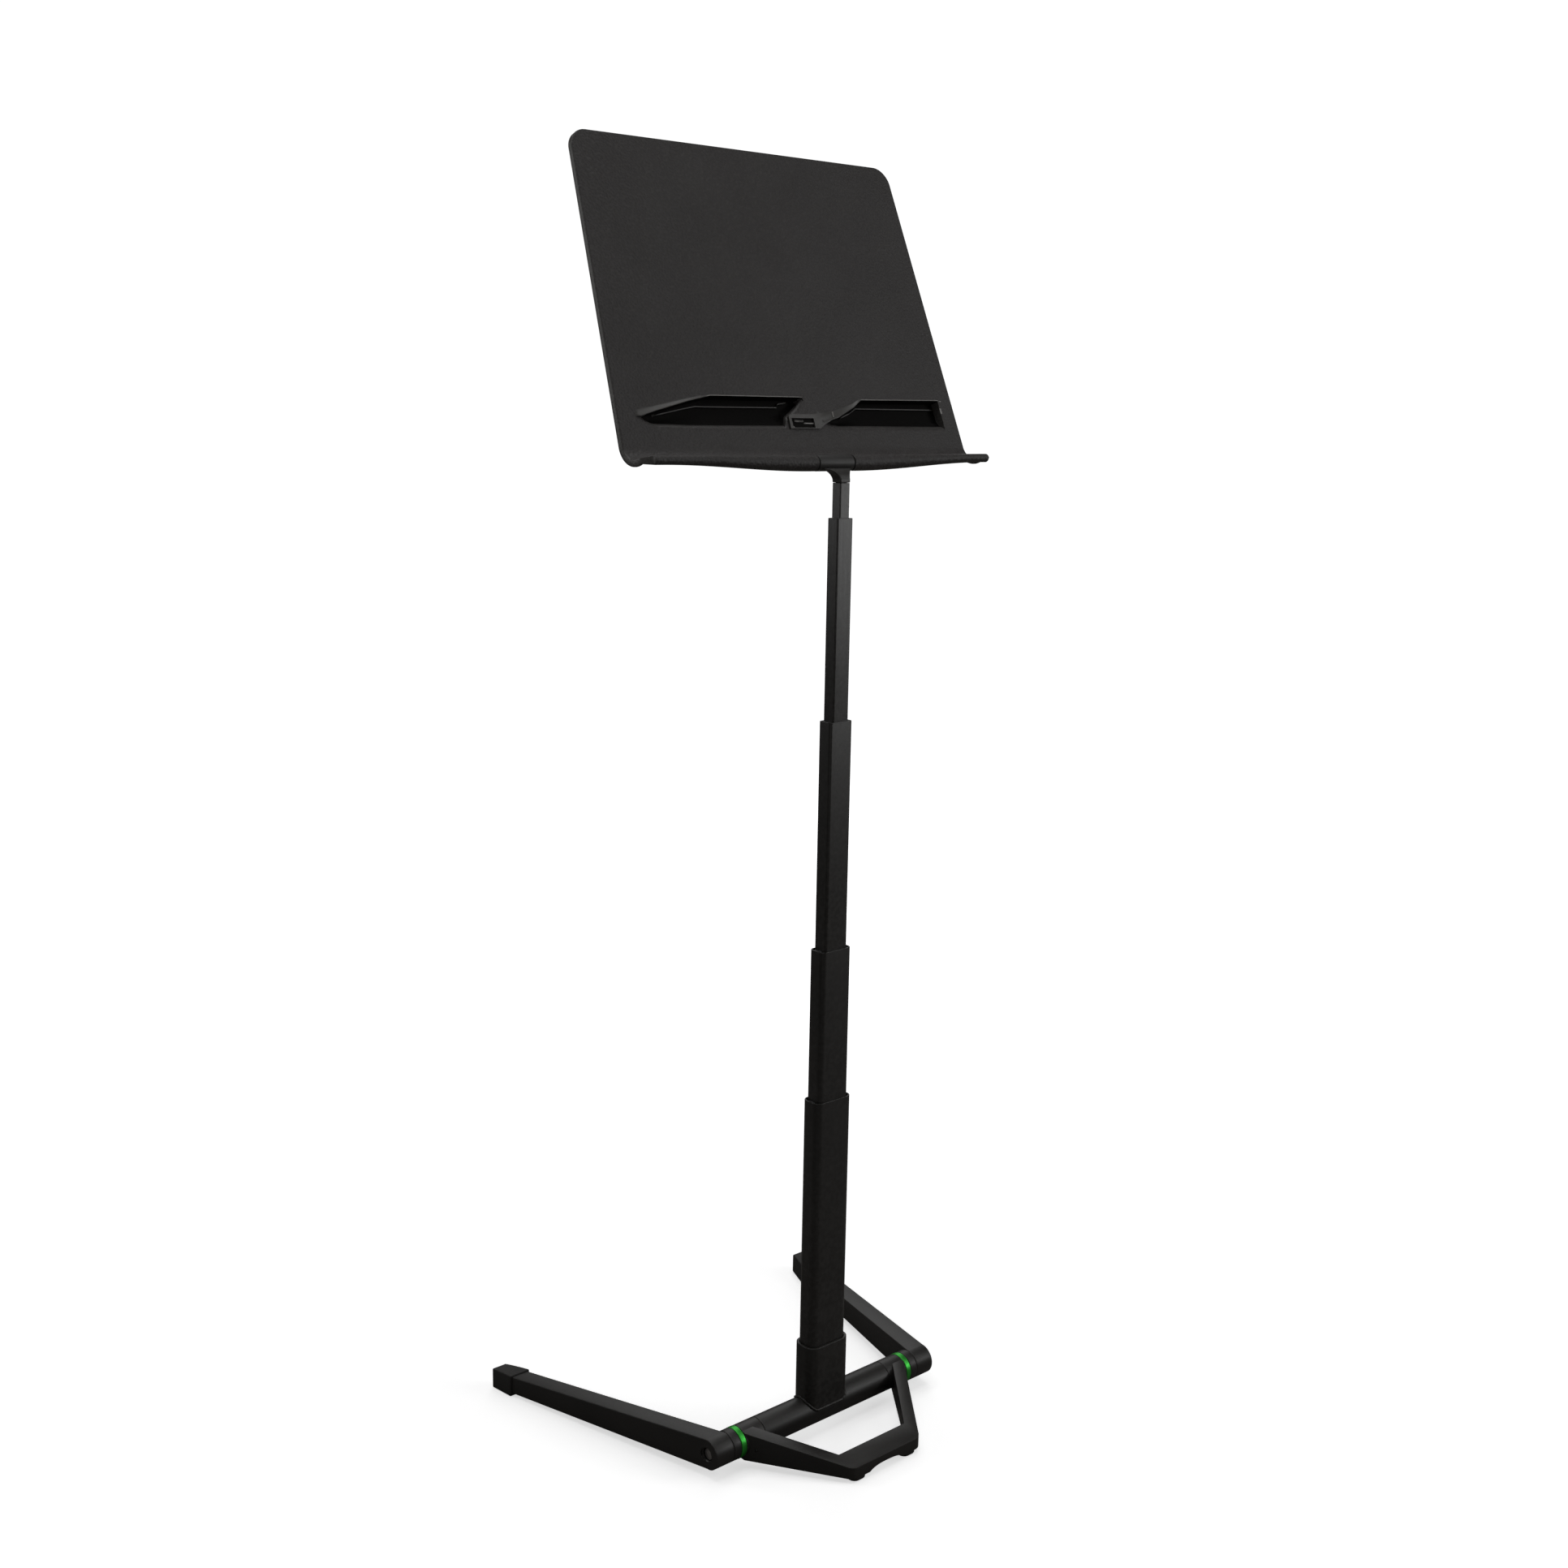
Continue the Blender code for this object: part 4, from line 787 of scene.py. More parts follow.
class STAND_OT_catch(Operator):
    """Build the small catch between the pockets: a frame round a recess, its base plate with a painted shade, and
    four bars
    """
    bl_idname = "stand.catch"
    bl_label = "Catch"

    def execute(self, context):
        """The frame is a closed rectangular section carried round a leaning outline."""
        tray = settings().tray
        face, back = -0.0018, 0.0010
        section = ((CATCH_FRAME, back), (CATCH_FRAME, face + 0.0003), (CATCH_FRAME, face),
                   (CATCH_RECESS, face), (CATCH_RECESS, face + 0.0003), (CATCH_RECESS, back))
        # the catch's frame gets the dim painted highlight
        piece = grid_piece("catch_frame", self.loops(tray, section), "moulded edge", "tray", "black_moulding",
                           wrap_rows=True)
        bevelled(piece, 0.00035, 2)
        # the catch's recess floor gets the pocket finish, a painted shade
        piece = grid_piece("catch_plate", self.loops(tray, ((CATCH_RECESS, 0.0014), (CATCH_RECESS, -0.0002))),
                           "pocket", "tray", "dark_steel", ["centre_catch"], capped=True)
        bevelled(piece, 0.0002, 2)
        for name, key, first, last, low, high, proud in CATCH_BARS:
            bar = block(name, (first, tray.offset - proud, low), (last, tray.offset + 0.0002, high), key, "tray",
                        "dark_steel", place=lambda points: tray_to_world(tray, points))
            bevelled(bar, 0.0003, 2)
        return {"FINISHED"}

    def loops(self, tray, section):
        """Outlines on the plate, each at its depth behind the plate's face."""
        rings = []
        for plan, depth in section:
            plan = np.array(plan)
            rings.append(np.column_stack([plan[:, 0], np.full(len(plan), tray.offset + depth), plan[:, 1]]))
        return tray_to_world(tray, np.stack(rings))


# ================================================================ mast
def section_size(number):
    """Width, depth, lowest and highest level of one mast section, read from the frame."""
    low, high = span("mast_section_%d" % number)
    return high[0] - low[0], high[1] - low[1], low[2], high[2]


SECTION_CORNERS = (0.0080, 0.0060, 0.0030, 0.0015, 0.0010)
SECTION_WALLS = (0.0016, 0.0015, 0.0012, 0.0012, 0.0012)
SECTION_BODIES = ("base", "mast_2", "mast_3", "mast_4", "mast_5")
SOCKET_WALL = 0.0031
CLEARANCE = 0.0003           # gap that keeps moving pieces apart
WELD_PITCH = 0.0032          # length of one drop of the weld


def hollow_profile(wall, low, high, rim):
    """(inset, height) pairs round a tube's wall: outside up, over the rounded rim, inside down."""
    across, along = quarter_turn(rim, 4)
    outer = np.stack([rim - across, high - rim + along], -1)
    inner = np.stack([wall - rim + across, high - rim + along], -1)[::-1]
    return np.concatenate([[(0.0, low)], outer, inner, [(wall, low)]])


class STAND_OT_mast(Operator):
    """Build the five mast sections with their guide blocks"""
    bl_idname = "stand.mast"
    bl_label = "Mast"

    def execute(self, context):
        """Each section is a rounded rectangle carried round the profile of its wall."""
        mast = settings().mast
        for number, body in enumerate(SECTION_BODIES, 1):
            width, depth, low, high = section_size(number)
            profile = hollow_profile(SECTION_WALLS[number - 1], low, high, mast.rim)
            grid = carried_outline(width, depth, SECTION_CORNERS[number - 1], profile, mast.steps)
            grid_piece("mast_tube_%d" % number, grid, "mast coating", body, "black_paint",
                       ["mast_section_%d" % number], wrap_rows=True)
            if number < len(SECTION_BODIES):
                self.build_guides(number, body)
        return {"FINISHED"}

    def build_guides(self, number, body):
        """Two blocks with rounded edges that fill the gap beside the next section."""
        for word in ("left", "right"):
            node = "guide_%s_%d" % (word, number)
            low, high = span(node)
            guide = block("guide_block_%s_%d" % (word, number), low, high, "nylon", body, "grey_plastic", [node])
            bevelled(guide, 0.0004, 2)


class STAND_OT_socket(Operator):
    """Build the socket saddled on the cross tube, and the weld that runs round its foot"""
    bl_idname = "stand.socket"
    bl_label = "Socket"

    def execute(self, context):
        """The lower edge of the socket's wall follows the tube's surface."""
        mast = settings().mast
        low, high = span("base_socket")
        width, depth = high[0] - low[0], high[1] - low[1]
        corner = SECTION_CORNERS[0] + SOCKET_WALL + CLEARANCE
        profile = hollow_profile(SOCKET_WALL, 0.0, high[2], 0.0007)
        grid = carried_outline(width, depth, corner, profile, mast.steps)
        reach = TUBE_R + CLEARANCE
        for row in (0, -1):
            offset = grid[row, :, 1] - BASE_Y
            grid[row, :, 2] = AXLE_Z + np.sqrt(np.maximum(reach ** 2 - offset ** 2, 0.0))
        grid_piece("socket_sleeve", grid, "coating", "base", "black_paint", ["base_socket"], wrap_rows=True)
        self.build_weld(width, depth, corner, reach, mast)
        return {"FINISHED"}

    def build_weld(self, width, depth, corner, reach, mast):
        """A small bead whose centre runs where the socket's wall meets the tube, uneven like overlapping drops."""
        plan = rounded_outline(width, depth, corner, 40)
        sides = np.linspace(0.0, 1.0, 30, endpoint=False)[:, None]
        path = []
        for a, b in zip(plan, np.roll(plan, -1, 0)):
            long_side = np.hypot(*(b - a)) > 0.004
            path.append(a + (b - a) * sides if long_side else a[None])
        path = np.concatenate(path)
        height = AXLE_Z + np.sqrt(np.maximum(reach ** 2 - path[:, 1] ** 2, 1e-9))
        run = np.cumsum(np.hypot(*(np.roll(path, -1, 0) - path).T))
        radius = mast.bead * (1.0 + 0.10 * np.sin(run * 2 * math.pi / WELD_PITCH) + 0.08 * np.sin(run * 640.0))
        outward = path - np.array([np.clip(path[:, 0], -width / 2 + corner, width / 2 - corner),
                                   np.clip(path[:, 1], -depth / 2 + corner, depth / 2 - corner)]).T
        outward /= np.maximum(np.hypot(*outward.T), 1e-9)[:, None]
        angle = np.linspace(0.0, 2 * math.pi, 12, endpoint=False)
        x = path[:, None, 0] + outward[:, None, 0] * radius[:, None] * np.cos(angle)
        y = path[:, None, 1] + outward[:, None, 1] * radius[:, None] * np.cos(angle) + BASE_Y
        z = height[:, None] + 0.0004 + radius[:, None] * np.sin(angle)
        floor = AXLE_Z + np.sqrt(np.maximum((TUBE_R - 0.0004) ** 2 - (y - BASE_Y) ** 2, 0.0))
        grid_piece("socket_weld", np.stack([x, y, np.maximum(z, floor)], -1), "coating", "base", "black_paint",
                   wrap_rows=True)


# ================================================================ base
TUBE_WALL = 0.0018
RING_WALL = 0.004


class STAND_OT_cross_tube(Operator):
    """Build the cross tube and the two green rings"""
    bl_idname = "stand.cross_tube"
    bl_label = "Cross tube and rings"

    def execute(self, context):
        """Turned sleeves about the hub axis, with rounded outer corners."""
        low, high = span("cross_tube")
        profile = rounded_profile(low[0], high[0], TUBE_R, 0.0005)
        bore = TUBE_R - TUBE_WALL
        profile = np.concatenate([profile, [(high[0], bore), (low[0], bore)]])
        grid_piece("cross_tube_sleeve", turned(profile, FOOT_AXIS), "coating", "base", "black_paint",
                   ["cross_tube"], wrap_rows=True)
        for word in ("left", "right"):
            low, high = span("ring_" + word)
            radius = (high[2] - low[2]) / 2
            profile = rounded_profile(low[0], high[0], radius, 0.0007, 6)
            profile = np.concatenate([profile, [(high[0], radius - RING_WALL), (low[0], radius - RING_WALL)]])
            grid_piece("ring_band_" + word, turned(profile, FOOT_AXIS, 96), "ring", "base", "green_ring",
                       ["ring_" + word], wrap_rows=True)
        return {"FINISHED"}


HUB_LENGTH = 0.0342
HUB_START = float(span("leg_right")[0][0])
HUB_END = HUB_START + HUB_LENGTH
HUB_BORE = 0.0090
# (place outside the hub's end, radius) round the recess in the hub's end and round the screw head in it
RECESS = ((-0.0058, 0.0), (-0.0058, 0.0070), (-0.0008, 0.0070), (0.0002, 0.0080), (0.004, 0.0080), (0.004, 0.0))
SCREW_HEAD = ((-0.0055, 0.0), (-0.0055, 0.0058), (-0.0031, 0.0060), (-0.0023, 0.0052), (-0.0023, 0.0032),
              (-0.0045, 0.0030), (-0.0045, 0.0))
CAP_OVERLAP = 0.009          # how far a rubber cap reaches over the bar
CAP_LENGTH = 0.031
CAP_PROUD = 0.0022           # cap's sides outside the bar's sides
CAP_TOP_PROUD = 0.0018
CAP_OUTER_SPLAY = 0.145
CAP_INNER_SPLAY = 0.400
CAP_TOP_FALL = 0.0645
CAP_BULGE = 0.0004           # rise of the cap's top in its middle


def leg_edges(base, y):
    """Outer and inner face of a right-hand leg at places behind the hub."""
    outer = HUB_END + base.splay * np.maximum(y, 0.0)
    width = base.root_width + (base.tip_width - base.root_width) * np.clip(y, 0.0, None) / base.reach
    return outer, outer - width


class STAND_OT_legs(Operator):
    """Build both legs with their hubs, end recesses, screws and rubber caps"""
    bl_idname = "stand.legs"
    bl_label = "Legs"

    def execute(self, context):
        """A bar is the side outline of a hub and two tangent lines, carried across its width."""
        for side, word in ((-1.0, "left"), (1.0, "right")):
            self.build_bar(side, word)
            self.build_hub(side, word)
            self.build_cap(side, word)
        return {"FINISHED"}

    def outline(self, base, shrink):
        """Side outline behind and above the hub axis: half circle in front, straight top and underside."""
        radius = TUBE_R - shrink
        angle = np.linspace(math.pi / 2, 3 * math.pi / 2, 49)
        hub = np.stack([radius * np.cos(angle), radius * np.sin(angle)], -1)
        y = np.linspace(0.004, base.reach - shrink, 40)
        under = np.stack([y, -radius - base.under_fall * y], -1)
        top = np.stack([y[::-1], radius - base.top_fall * y[::-1]], -1)
        return np.concatenate([hub, under, top])

    def build_bar(self, side, word):
        """Rings of the outline from the inner face to the outer face, shrunk over the rounded long edges."""
        base = settings().base
        across, along = quarter_turn(base.edge, 5)
        insets = list(zip(base.edge - along, base.edge - across))
        rings = [self.ring(base, side, from_face, shrink, True) for from_face, shrink in insets[::-1]]
        rings += [self.ring(base, side, from_face, shrink, False) for from_face, shrink in insets]
        bar = grid_piece("leg_bar_" + word, np.stack(rings), "coating", "leg_" + word, "black_paint",
                         ["leg_" + word], capped=True)
        recess = turned([(side * (HUB_END + place), radius) for place, radius in RECESS], FOOT_AXIS, 48)
        cut(bar, grid_piece("recess_tool", recess, None, None, None))

    def ring(self, base, side, from_face, shrink, inner):
        """One outline at a distance in from the inner or outer face."""
        plan = self.outline(base, shrink)
        outer, inside = leg_edges(base, plan[:, 0])
        x = inside + from_face if inner else outer - from_face
        return np.column_stack([side * x, plan[:, 0] + BASE_Y, plan[:, 1] + AXLE_Z])

    def build_hub(self, side, word):
        """The short round stretch between the ring and the bar."""
        start, end = side * HUB_START, side * (HUB_END - settings().base.root_width)
        profile = rounded_profile(start, end, TUBE_R, 0.0006)
        profile = np.concatenate([profile, [(end, HUB_BORE), (start, HUB_BORE)]])
        grid_piece("leg_hub_" + word, turned(profile, FOOT_AXIS), "coating", "leg_" + word, "black_paint",
                   wrap_rows=True)
        head = turned([(side * (HUB_END + place), radius) for place, radius in SCREW_HEAD], FOOT_AXIS, 36)
        # the screw head sunk in the hub's end gets the pocket finish, a painted shade
        grid_piece("hub_screw_" + word, head, "pocket", "base", "dark_steel")

    def build_cap(self, side, word):
        """A tapered block with rounded edges, deeper at its open end."""
        base = settings().base
        start = base.reach - CAP_OVERLAP
        outer, inner = leg_edges(base, np.array([start, base.reach]))
        top = TUBE_R - base.top_fall * start + CAP_TOP_PROUD
        rings = []
        for share in np.linspace(0.0, 1.0, 9):
            run = CAP_LENGTH * share
            out = side * (outer[0] + CAP_PROUD + CAP_OUTER_SPLAY * run)
            far = side * (inner[0] - CAP_PROUD + CAP_INNER_SPLAY * run)
            level = top - CAP_TOP_FALL * run + CAP_BULGE * math.sin(math.pi * share) + AXLE_Z
            place = start + run + BASE_Y
            rings.append([(out, place, 0.0), (out, place, level), (far, place, level), (far, place, 0.0)])
        cap = grid_piece("leg_boot_" + word, np.array(rings), "rubber", "leg_" + word, "black_rubber",
                         ["leg_cap_" + word], capped=True)
        bevelled(cap, 0.0013, 4, 40.0)


FOOT_LEAN = math.radians(36.0)     # how far each arm leans inwards
FOOT_BAR_DEPTH = 0.0237            # front bar, front to back
FOOT_HALF_INNER = 0.0484           # half width of the opening at the front bar
FOOT_ARM_WIDTH = 0.0140            # width of an arm, square to its length
FOOT_ROOT = -0.0008                # arms end just in front of the axis, inside the collars
FOOT_CORNER = 0.0120
FOOT_TOP_RISE = 0.2415             # rise of the top face for each metre back
FOOT_UNDER_RISE = 0.0455
ARCH_HALF = 0.0272                 # half width of the arch between the pads
ARCH_HEIGHT = 0.0094
PAD_CORNER = 0.0075
COLLAR_BORE = 0.006
DOME = ((0.0006, 0.0021), (0.0002, 0.0018), (0.0, 0.0010), (0.0007, 0.0009), (0.0007, 0.0))     # (depth, radius)


class STAND_OT_front_foot(Operator):
    """Build the front foot: a trapezoid frame with two collars, an arch, rubber pads and side screws"""
    bl_idname = "stand.front_foot"
    bl_label = "Front foot"

    def execute(self, context):
        """The frame is a plan outline between a falling top face and a rising underside."""
        base = settings().base
        low, high = span("front_foot")
        reach = float(FOOT_AXIS[1] - low[1])
        side_limit = float(high[0])
        run = math.tan(FOOT_LEAN)
        inner_y = -(reach - FOOT_BAR_DEPTH)
        arm = FOOT_ARM_WIDTH / math.cos(FOOT_LEAN)
        meet = inner_y + (side_limit - arm - FOOT_HALF_INNER) / run
        corner_inset = FOOT_CORNER * math.tan((math.pi / 2 - FOOT_LEAN) / 2)
        corner_x = FOOT_HALF_INNER + (-reach - inner_y) * run + arm - corner_inset
        angle = np.linspace(-FOOT_LEAN, -math.pi / 2, 16)
        arc = np.stack([corner_x + FOOT_CORNER * np.cos(angle),
                        -reach + FOOT_CORNER + FOOT_CORNER * np.sin(angle)], -1)
        inner_root = FOOT_HALF_INNER + (FOOT_ROOT - inner_y) * run
        half = np.concatenate([[(inner_root, FOOT_ROOT), (side_limit, FOOT_ROOT), (side_limit, meet)], arc])
        bar = [(-FOOT_HALF_INNER, inner_y), (FOOT_HALF_INNER, inner_y)]
        plan = np.concatenate([half, half[::-1] * [-1, 1], bar])
        rings = []
        for level, rise in ((-TUBE_R, FOOT_UNDER_RISE), (TUBE_R, FOOT_TOP_RISE)):
            rings.append(np.column_stack([plan[:, 0], plan[:, 1] + BASE_Y, level + rise * plan[:, 1] + AXLE_Z]))
        body = grid_piece("foot_frame", np.stack(rings), "coating", "front_foot", "black_paint", ["front_foot"],
                          capped=True)
        cut(body, self.arch_tool(reach))
        bevelled(body, base.foot_edge, 3, 30.0)
        for side, word in ((-1.0, "left"), (1.0, "right")):
            self.build_collar(side, word, side_limit)
            self.build_pad(word)
            self.build_screw(side, word)
        return {"FINISHED"}

    def arch_tool(self, reach):
        """A low arch between the two pads: flat in the middle with rounded shoulders."""
        x = np.linspace(-ARCH_HALF, ARCH_HALF, 41)
        rise = ARCH_HEIGHT * np.sqrt(np.clip(1.0 - (np.abs(x) / ARCH_HALF) ** 2.6, 0.0, 1.0))
        lower = np.column_stack([x[::-1], np.full_like(x, -0.004)])
        outline = np.concatenate([np.column_stack([x, rise]), lower])
        rings = [np.column_stack([outline[:, 0], np.full(len(outline), y), outline[:, 1]])
                 for y in (BASE_Y - reach - 0.01, BASE_Y - reach + 0.03)]
        return grid_piece("arch_tool", np.stack(rings), None, None, None, capped=True)

    def build_collar(self, side, word, limit):
        """A turned sleeve at each end of the foot, between tube and ring."""
        start = float(span("cross_tube")[1][0]) + CLEARANCE
        profile = rounded_profile(side * start, side * limit, TUBE_R, 0.0005)
        profile = np.concatenate([profile, [(side * limit, COLLAR_BORE), (side * start, COLLAR_BORE)]])
        grid_piece("foot_collar_" + word, turned(profile, FOOT_AXIS), "coating", "front_foot", "black_paint",
                   wrap_rows=True)

    def build_pad(self, word):
        """A rounded block that follows the corner of the foot, a little inside its outline."""
        low, high = span("foot_pad_" + word)
        size = high - low
        centre = (low[:2] + high[:2]) / 2
        plan = rounded_outline(size[0], size[1], PAD_CORNER, 8) + centre
        rings = []
        for inset, level in ((0.0006, 0.0), (0.0001, 0.0005), (0.0, 0.0012), (0.0, 1.0)):
            share = 1.0 - inset / (size[0] / 2)
            points = centre + (plan - centre) * share
            top = AXLE_Z - TUBE_R + FOOT_UNDER_RISE * (points[:, 1] - BASE_Y) - CLEARANCE
            rings.append(np.column_stack([points, np.full(len(points), level) if level < 1.0 else top]))
        grid_piece("foot_pad_block_" + word, np.stack(rings), "rubber", "front_foot", "black_rubber",
                   ["foot_pad_" + word], capped=True)

    def build_screw(self, side, word):
        """A small domed screw head in the side of the arm."""
        low, high = span("set_screw_" + word)
        centre = (low + high) / 2
        outer = side * max(abs(low[0]), abs(high[0]))
        inner = side * min(abs(low[0]), abs(high[0]))
        head = [(outer - side * depth, radius) for depth, radius in DOME]
        dome = turned([(inner, 0.0), (inner, 0.0021), *head], centre, 28)
        grid_piece("side_screw_" + word, dome, "blackened", "front_foot", "dark_steel", ["set_screw_" + word])


# ================================================================ head
NECK = (0.0134, 0.0132, 0.0014)      # width, depth and corner on top of the mast
YOKE = (0.0440, 0.0120, 0.0026)      # the same where the yoke meets the barrel
BARREL_HALF = 0.0232
BARREL_RADIUS = 0.0082
BARREL_BORE = 0.0043
STUB = (0.0088, 0.0080, 0.0008)      # width, depth and corner of the stub inside the thinnest mast section
STUB_LENGTH = 0.018


class STAND_OT_head(Operator):
    """Build the casting on top of the mast, with its fanned yoke and barrel"""
    bl_idname = "stand.head"
    bl_label = "Hinge head"

    def execute(self, context):
        """The neck is a rounded rectangle that widens in a quarter curve up to the barrel."""
        top = section_size(5)[3]
        base_level = top + CLEARANCE
        axis = TILT_AXIS
        straight = base_level + 0.0024
        yoke_level = axis[2] - BARREL_RADIUS * 0.55
        neck, yoke = np.array(NECK), np.array(YOKE)
        rings = []
        for level, inset in ((base_level, 0.0006), (base_level + 0.0004, 0.0001), (straight, 0.0)):
            rings.append(self.ring(NECK[0] - 2 * inset, NECK[1] - 2 * inset, NECK[2], level, 0.0))
        for share in np.linspace(0.0, 1.0, 17)[1:]:
            level = straight + (yoke_level - straight) * math.sin(share * math.pi / 2)
            flare = 1.0 - math.cos(share * math.pi / 2)
            back = (axis[1] - BASE_Y) * (0.30 * share + 0.70 * flare)
            rings.append(self.ring(*(neck + (yoke - neck) * flare), level, back))
        grid_piece("head_yoke", np.stack(rings), "coating", "mast_5", "black_paint", ["hinge_head"], capped=True)
        profile = rounded_profile(-BARREL_HALF, BARREL_HALF, BARREL_RADIUS, 0.0006, 5)
        profile = np.concatenate([profile, [(BARREL_HALF, BARREL_BORE), (-BARREL_HALF, BARREL_BORE)]])
        grid_piece("head_barrel", turned(profile, axis, 64), "barrel coating", "mast_5", "black_paint",
                   wrap_rows=True)
        stub = carried_outline(*STUB, [(0.0, top - STUB_LENGTH), (0.0, top + 0.0004)])
        grid_piece("head_stub", stub, "coating", "mast_5", "black_paint", capped=True)
        return {"FINISHED"}

    def ring(self, width, depth, corner, level, back):
        """One level rounded rectangle, moved back from the mast axis."""
        plan = rounded_outline(width, depth, corner, 8)
        return np.column_stack([plan[:, 0], plan[:, 1] + BASE_Y + back, np.full(len(plan), level)])


class STAND_OT_carried_nodes(Operator):
    """Give every frame node that still shows its own finish"""
    bl_idname = "stand.carried_nodes"
    bl_label = "Carried nodes"

    def execute(self, context):
        """Each node's material slot decides its finish."""
        by_slot = {"black_paint": "coating", "black_moulding": "moulding", "green_ring": "ring",
                   "dark_steel": "steel", "black_rubber": "rubber", "grey_plastic": "nylon"}
        for entry in frame["record"]["subparts"]:
            node = frame["nodes"][entry["node"]]
            # hidden friction washers get the pocket finish, a painted shade
            hidden = entry["node"].startswith("friction_washer")
            chosen = finish_named("pocket" if hidden else by_slot[entry["material_slot"]])
            if not node.material_slots:
                node.data.materials.append(chosen)
            for place in node.material_slots:
                place.material = chosen
        return {"FINISHED"}


# ================================================================ stage
def placement(right, rise, back, place):
    """A matrix from three unit axes and a place."""
    rows = np.eye(4)
    rows[:3] = np.stack([right, rise, back, place], -1)
    return Matrix(rows.tolist())


def area_light(name, place, aim, size, power):
    """A rectangular soft white light turned towards a point."""
    lamp = bpy.data.lights.new(name, "AREA")
    lamp.shape = "RECTANGLE"
    lamp.size, lamp.size_y = size
    lamp.energy = power
    made = bpy.data.objects.new(name, lamp)
    place, aim = np.array(place, float), np.array(aim, float)
    back = (place - aim) / np.linalg.norm(place - aim)
    right = np.cross([0.0, 0.0, 1.0], back)
    right /= np.linalg.norm(right)
    rise = np.cross(back, right)
    bpy.context.scene.collection.objects.link(made)
    made.matrix_world = placement(right, rise, back, place)


# name, place, point it is turned towards, size and power
LIGHTS = (("top_box", (0.0, 0.2, 3.2), (0.0, 0.0, 0.7), (2.4, 2.4), 32.0),
          ("right_box", (2.1, -1.9, 2.6), (0.0, 0.0, 1.1), (1.3, 1.3), 9.5),
          ("strip_box", (2.3, -2.6, 1.35), (0.0, 0.0, 1.10), (1.2, 0.8), 19.0),
          ("back_box", (1.9, 2.2, 2.3), (0.0, 0.0, 0.6), (1.6, 2.6), 15.0),
          ("rim_box", (-2.2, 2.4, 1.9), (0.0, 0.0, 1.25), (1.2, 1.2), 12.0),
          ("key_box", (-1.9, -2.1, 1.5), (0.0, 0.0, 1.0), (0.5, 0.5), 4.5))
CAMERA_PLACE = (-1.24863, -1.35520 + BASE_Y, 1.10530)
CAMERA_HEADING = math.radians(41.0465)       # from +Y towards +X
CAMERA_TILT = math.radians(-11.6420)
CAMERA_ROLL = math.radians(0.9968)
CAMERA_LENS = 41.932
CAMERA_SENSOR = 36.0
FLOOR_HALF = 14.0
FLOOR_LEVEL = -0.0002


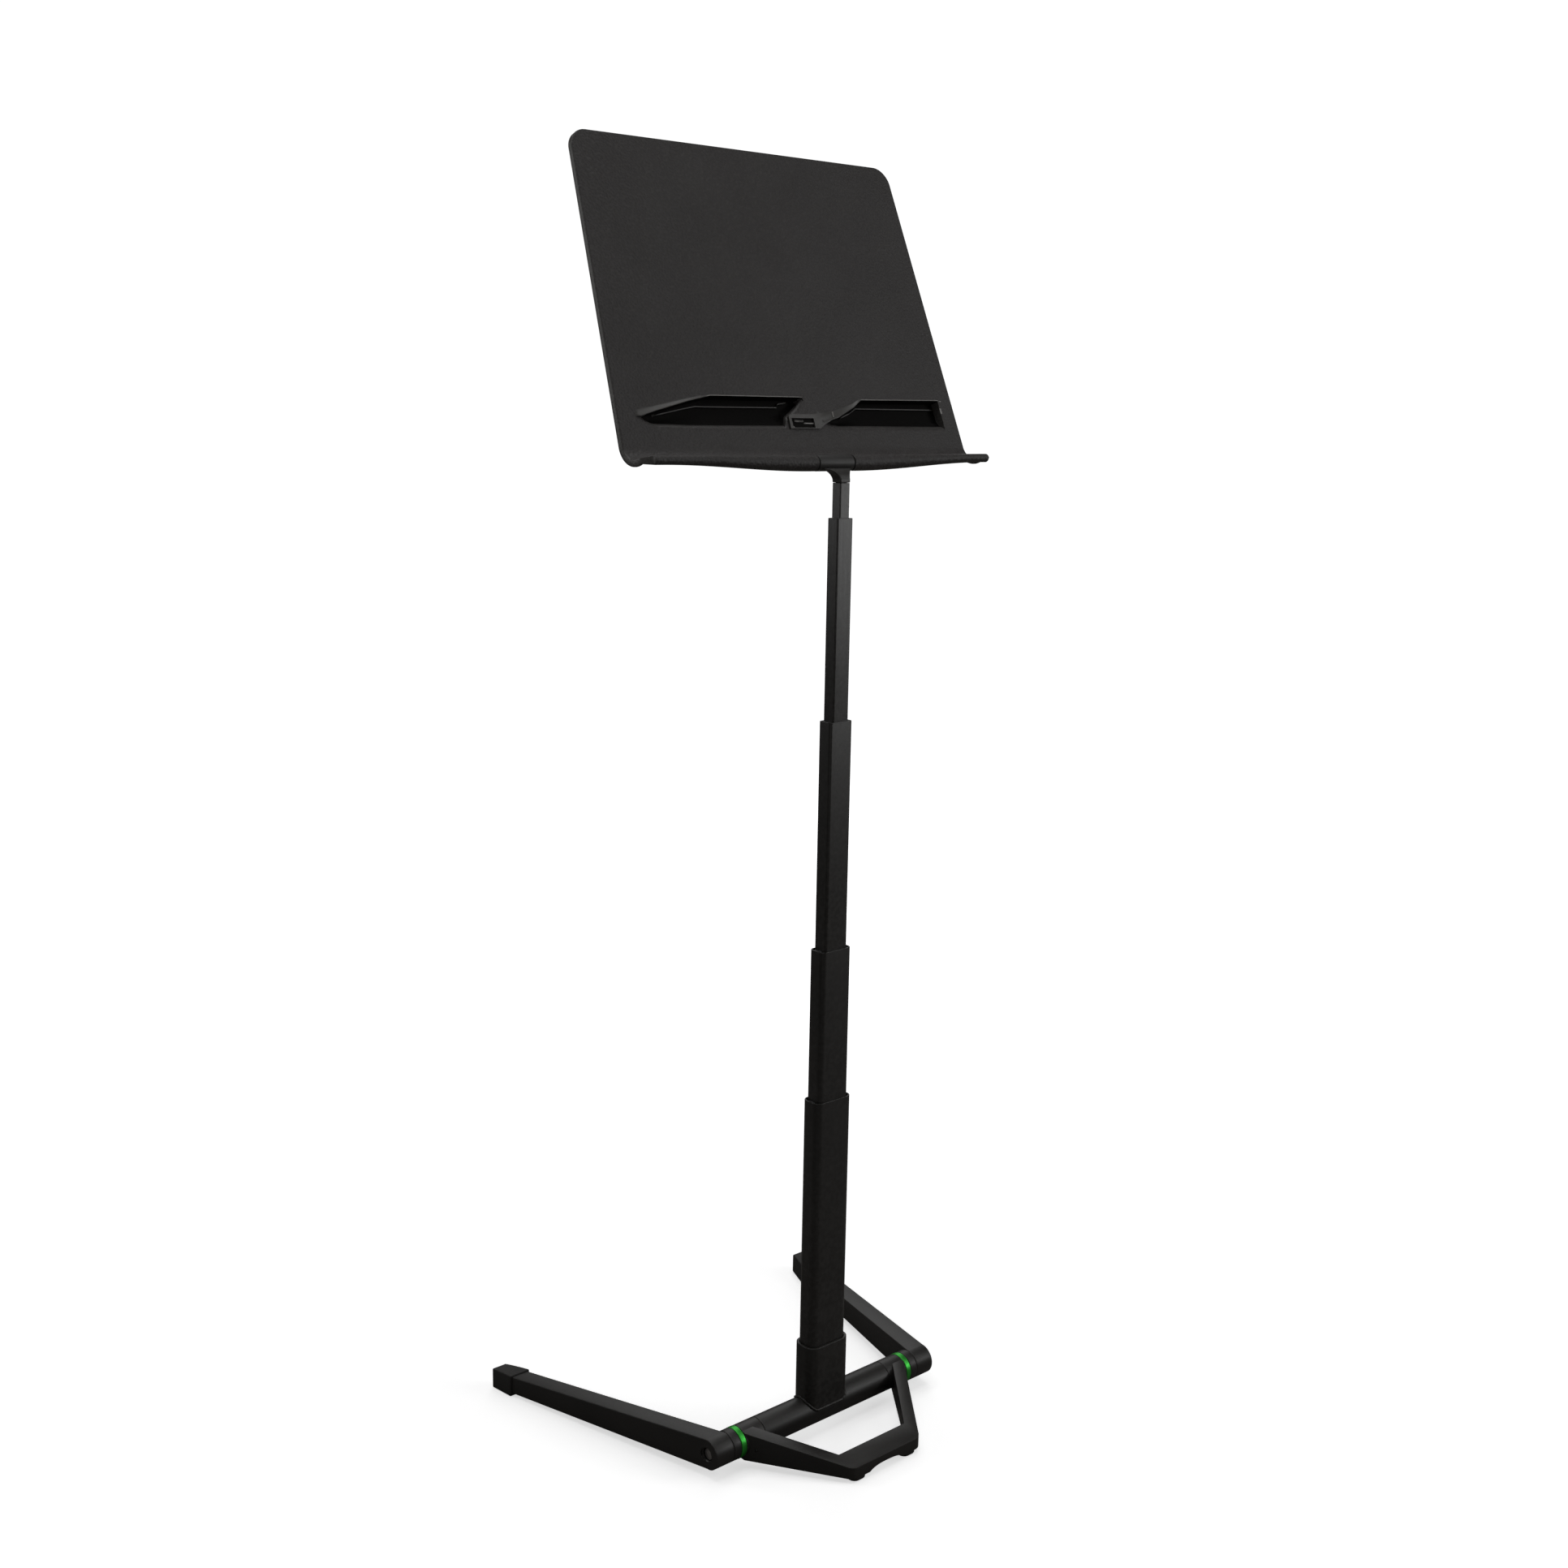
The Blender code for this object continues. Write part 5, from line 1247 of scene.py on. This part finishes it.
class STAND_OT_stage(Operator):
    """Build the pale floor, the soft lights and the camera"""
    bl_idname = "stand.stage"
    bl_label = "Studio"

    def execute(self, context):
        """The camera looks up at the tray from the player's left."""
        self.build_floor()
        self.build_world()
        for light in LIGHTS:
            area_light(*light)
        bpy.context.scene.view_settings.view_transform = "Standard"
        self.build_camera()
        return {"FINISHED"}

    def build_floor(self):
        """A wide level sheet of plain pale paper."""
        corners = [(x, y, FLOOR_LEVEL) for y in (-FLOOR_HALF, FLOOR_HALF) for x in (-FLOOR_HALF, FLOOR_HALF)]
        mesh = bpy.data.meshes.new("studio_floor")
        mesh.from_pydata(corners, [], [(0, 1, 3, 2)])
        floor = bpy.data.objects.new("studio_floor", mesh)
        bpy.context.scene.collection.objects.link(floor)
        paper = bpy.data.materials.new("studio paper")
        paper.use_nodes = True
        shader = paper.node_tree.nodes["Principled BSDF"]
        tree = paper.node_tree
        seen = tree.nodes.new("ShaderNodeLightPath").outputs["Is Camera Ray"]
        tone = tinted(tree, seen, (0.22, 0.21, 0.20, 1.0), rgba(settings().finish.floor))
        tree.links.new(tone, shader.inputs["Base Color"])
        shader.inputs["Roughness"].default_value = 0.95
        shader.inputs["Specular IOR Level"].default_value = 0.0
        shader.inputs["Emission Color"].default_value = (1.0, 1.0, 1.0, 1.0)
        away = add_node(tree, "ShaderNodeVectorMath", {0: own_place(tree)}, operation="LENGTH").outputs["Value"]
        lift = product(tree, seen, ranged(tree, away, 0.5, 2.0, 0.60, 1.1))
        tree.links.new(lift, shader.inputs["Emission Strength"])
        mesh.materials.append(paper)

    def build_world(self):
        """An even white surround."""
        world = bpy.data.worlds.new("studio")
        world.use_nodes = True
        back = world.node_tree.nodes["Background"]
        back.inputs["Color"].default_value = (1.0, 1.0, 1.0, 1.0)
        seen = world.node_tree.nodes.new("ShaderNodeLightPath").outputs["Is Camera Ray"]
        world.node_tree.links.new(ranged(world.node_tree, seen, 0.0, 1.0, 0.035, 1.05), back.inputs["Strength"])
        bpy.context.scene.world = world

    def build_camera(self):
        """A camera set by its place, heading, tilt and roll."""
        heading, tilt, roll = CAMERA_HEADING, CAMERA_TILT, CAMERA_ROLL
        ahead = np.array([math.sin(heading) * math.cos(tilt), math.cos(heading) * math.cos(tilt), math.sin(tilt)])
        right = np.array([math.cos(heading), -math.sin(heading), 0.0])
        rise = np.cross(right, ahead)
        right, rise = (right * math.cos(roll) + rise * math.sin(roll), rise * math.cos(roll) - right * math.sin(roll))
        camera = bpy.data.cameras.new("camera")
        camera.sensor_width = CAMERA_SENSOR
        camera.lens = CAMERA_LENS
        camera.clip_start = 0.05
        made = bpy.data.objects.new("camera", camera)
        bpy.context.scene.collection.objects.link(made)
        made.matrix_world = placement(right, rise, -ahead, CAMERA_PLACE)
        bpy.context.scene.camera = made


# ================================================================ panel
OPERATORS = (STAND_OT_tray, STAND_OT_catch, STAND_OT_mast, STAND_OT_socket, STAND_OT_cross_tube, STAND_OT_legs,
             STAND_OT_front_foot, STAND_OT_head, STAND_OT_carried_nodes, STAND_OT_stage)


class STAND_PT_panel(Panel):
    """Lists the stand's pieces and their sizes"""
    bl_idname = "STAND_PT_panel"
    bl_label = "Music Stand"
    bl_space_type = "VIEW_3D"
    bl_region_type = "UI"
    bl_category = "Stand"

    def draw(self, context):
        """A button for each piece, then every size and colour."""
        for kind in OPERATORS:
            self.layout.operator(kind.bl_idname)
        chosen = context.scene.music_stand
        for group in (chosen.tray, chosen.mast, chosen.base, chosen.finish):
            column = self.layout.column(align=True)
            for key in group.__annotations__:
                column.prop(group, key)


CLASSES = (StandTraySizes, StandMastSizes, StandBaseSizes, StandFinishes, StandSettings, *OPERATORS,
           STAND_PT_panel)


def register():
    """Registers the classes and hangs the settings on the scene."""
    for kind in CLASSES:
        bpy.utils.register_class(kind)
    bpy.types.Scene.music_stand = PointerProperty(type=StandSettings)


def unregister():
    """Takes everything away again."""
    del bpy.types.Scene.music_stand
    for kind in reversed(CLASSES):
        bpy.utils.unregister_class(kind)


def main():
    """Builds every piece in order."""
    register()
    for kind in OPERATORS:
        group, name = kind.bl_idname.split(".")
        getattr(getattr(bpy.ops, group), name)()


if __name__ == "__main__":
    main()
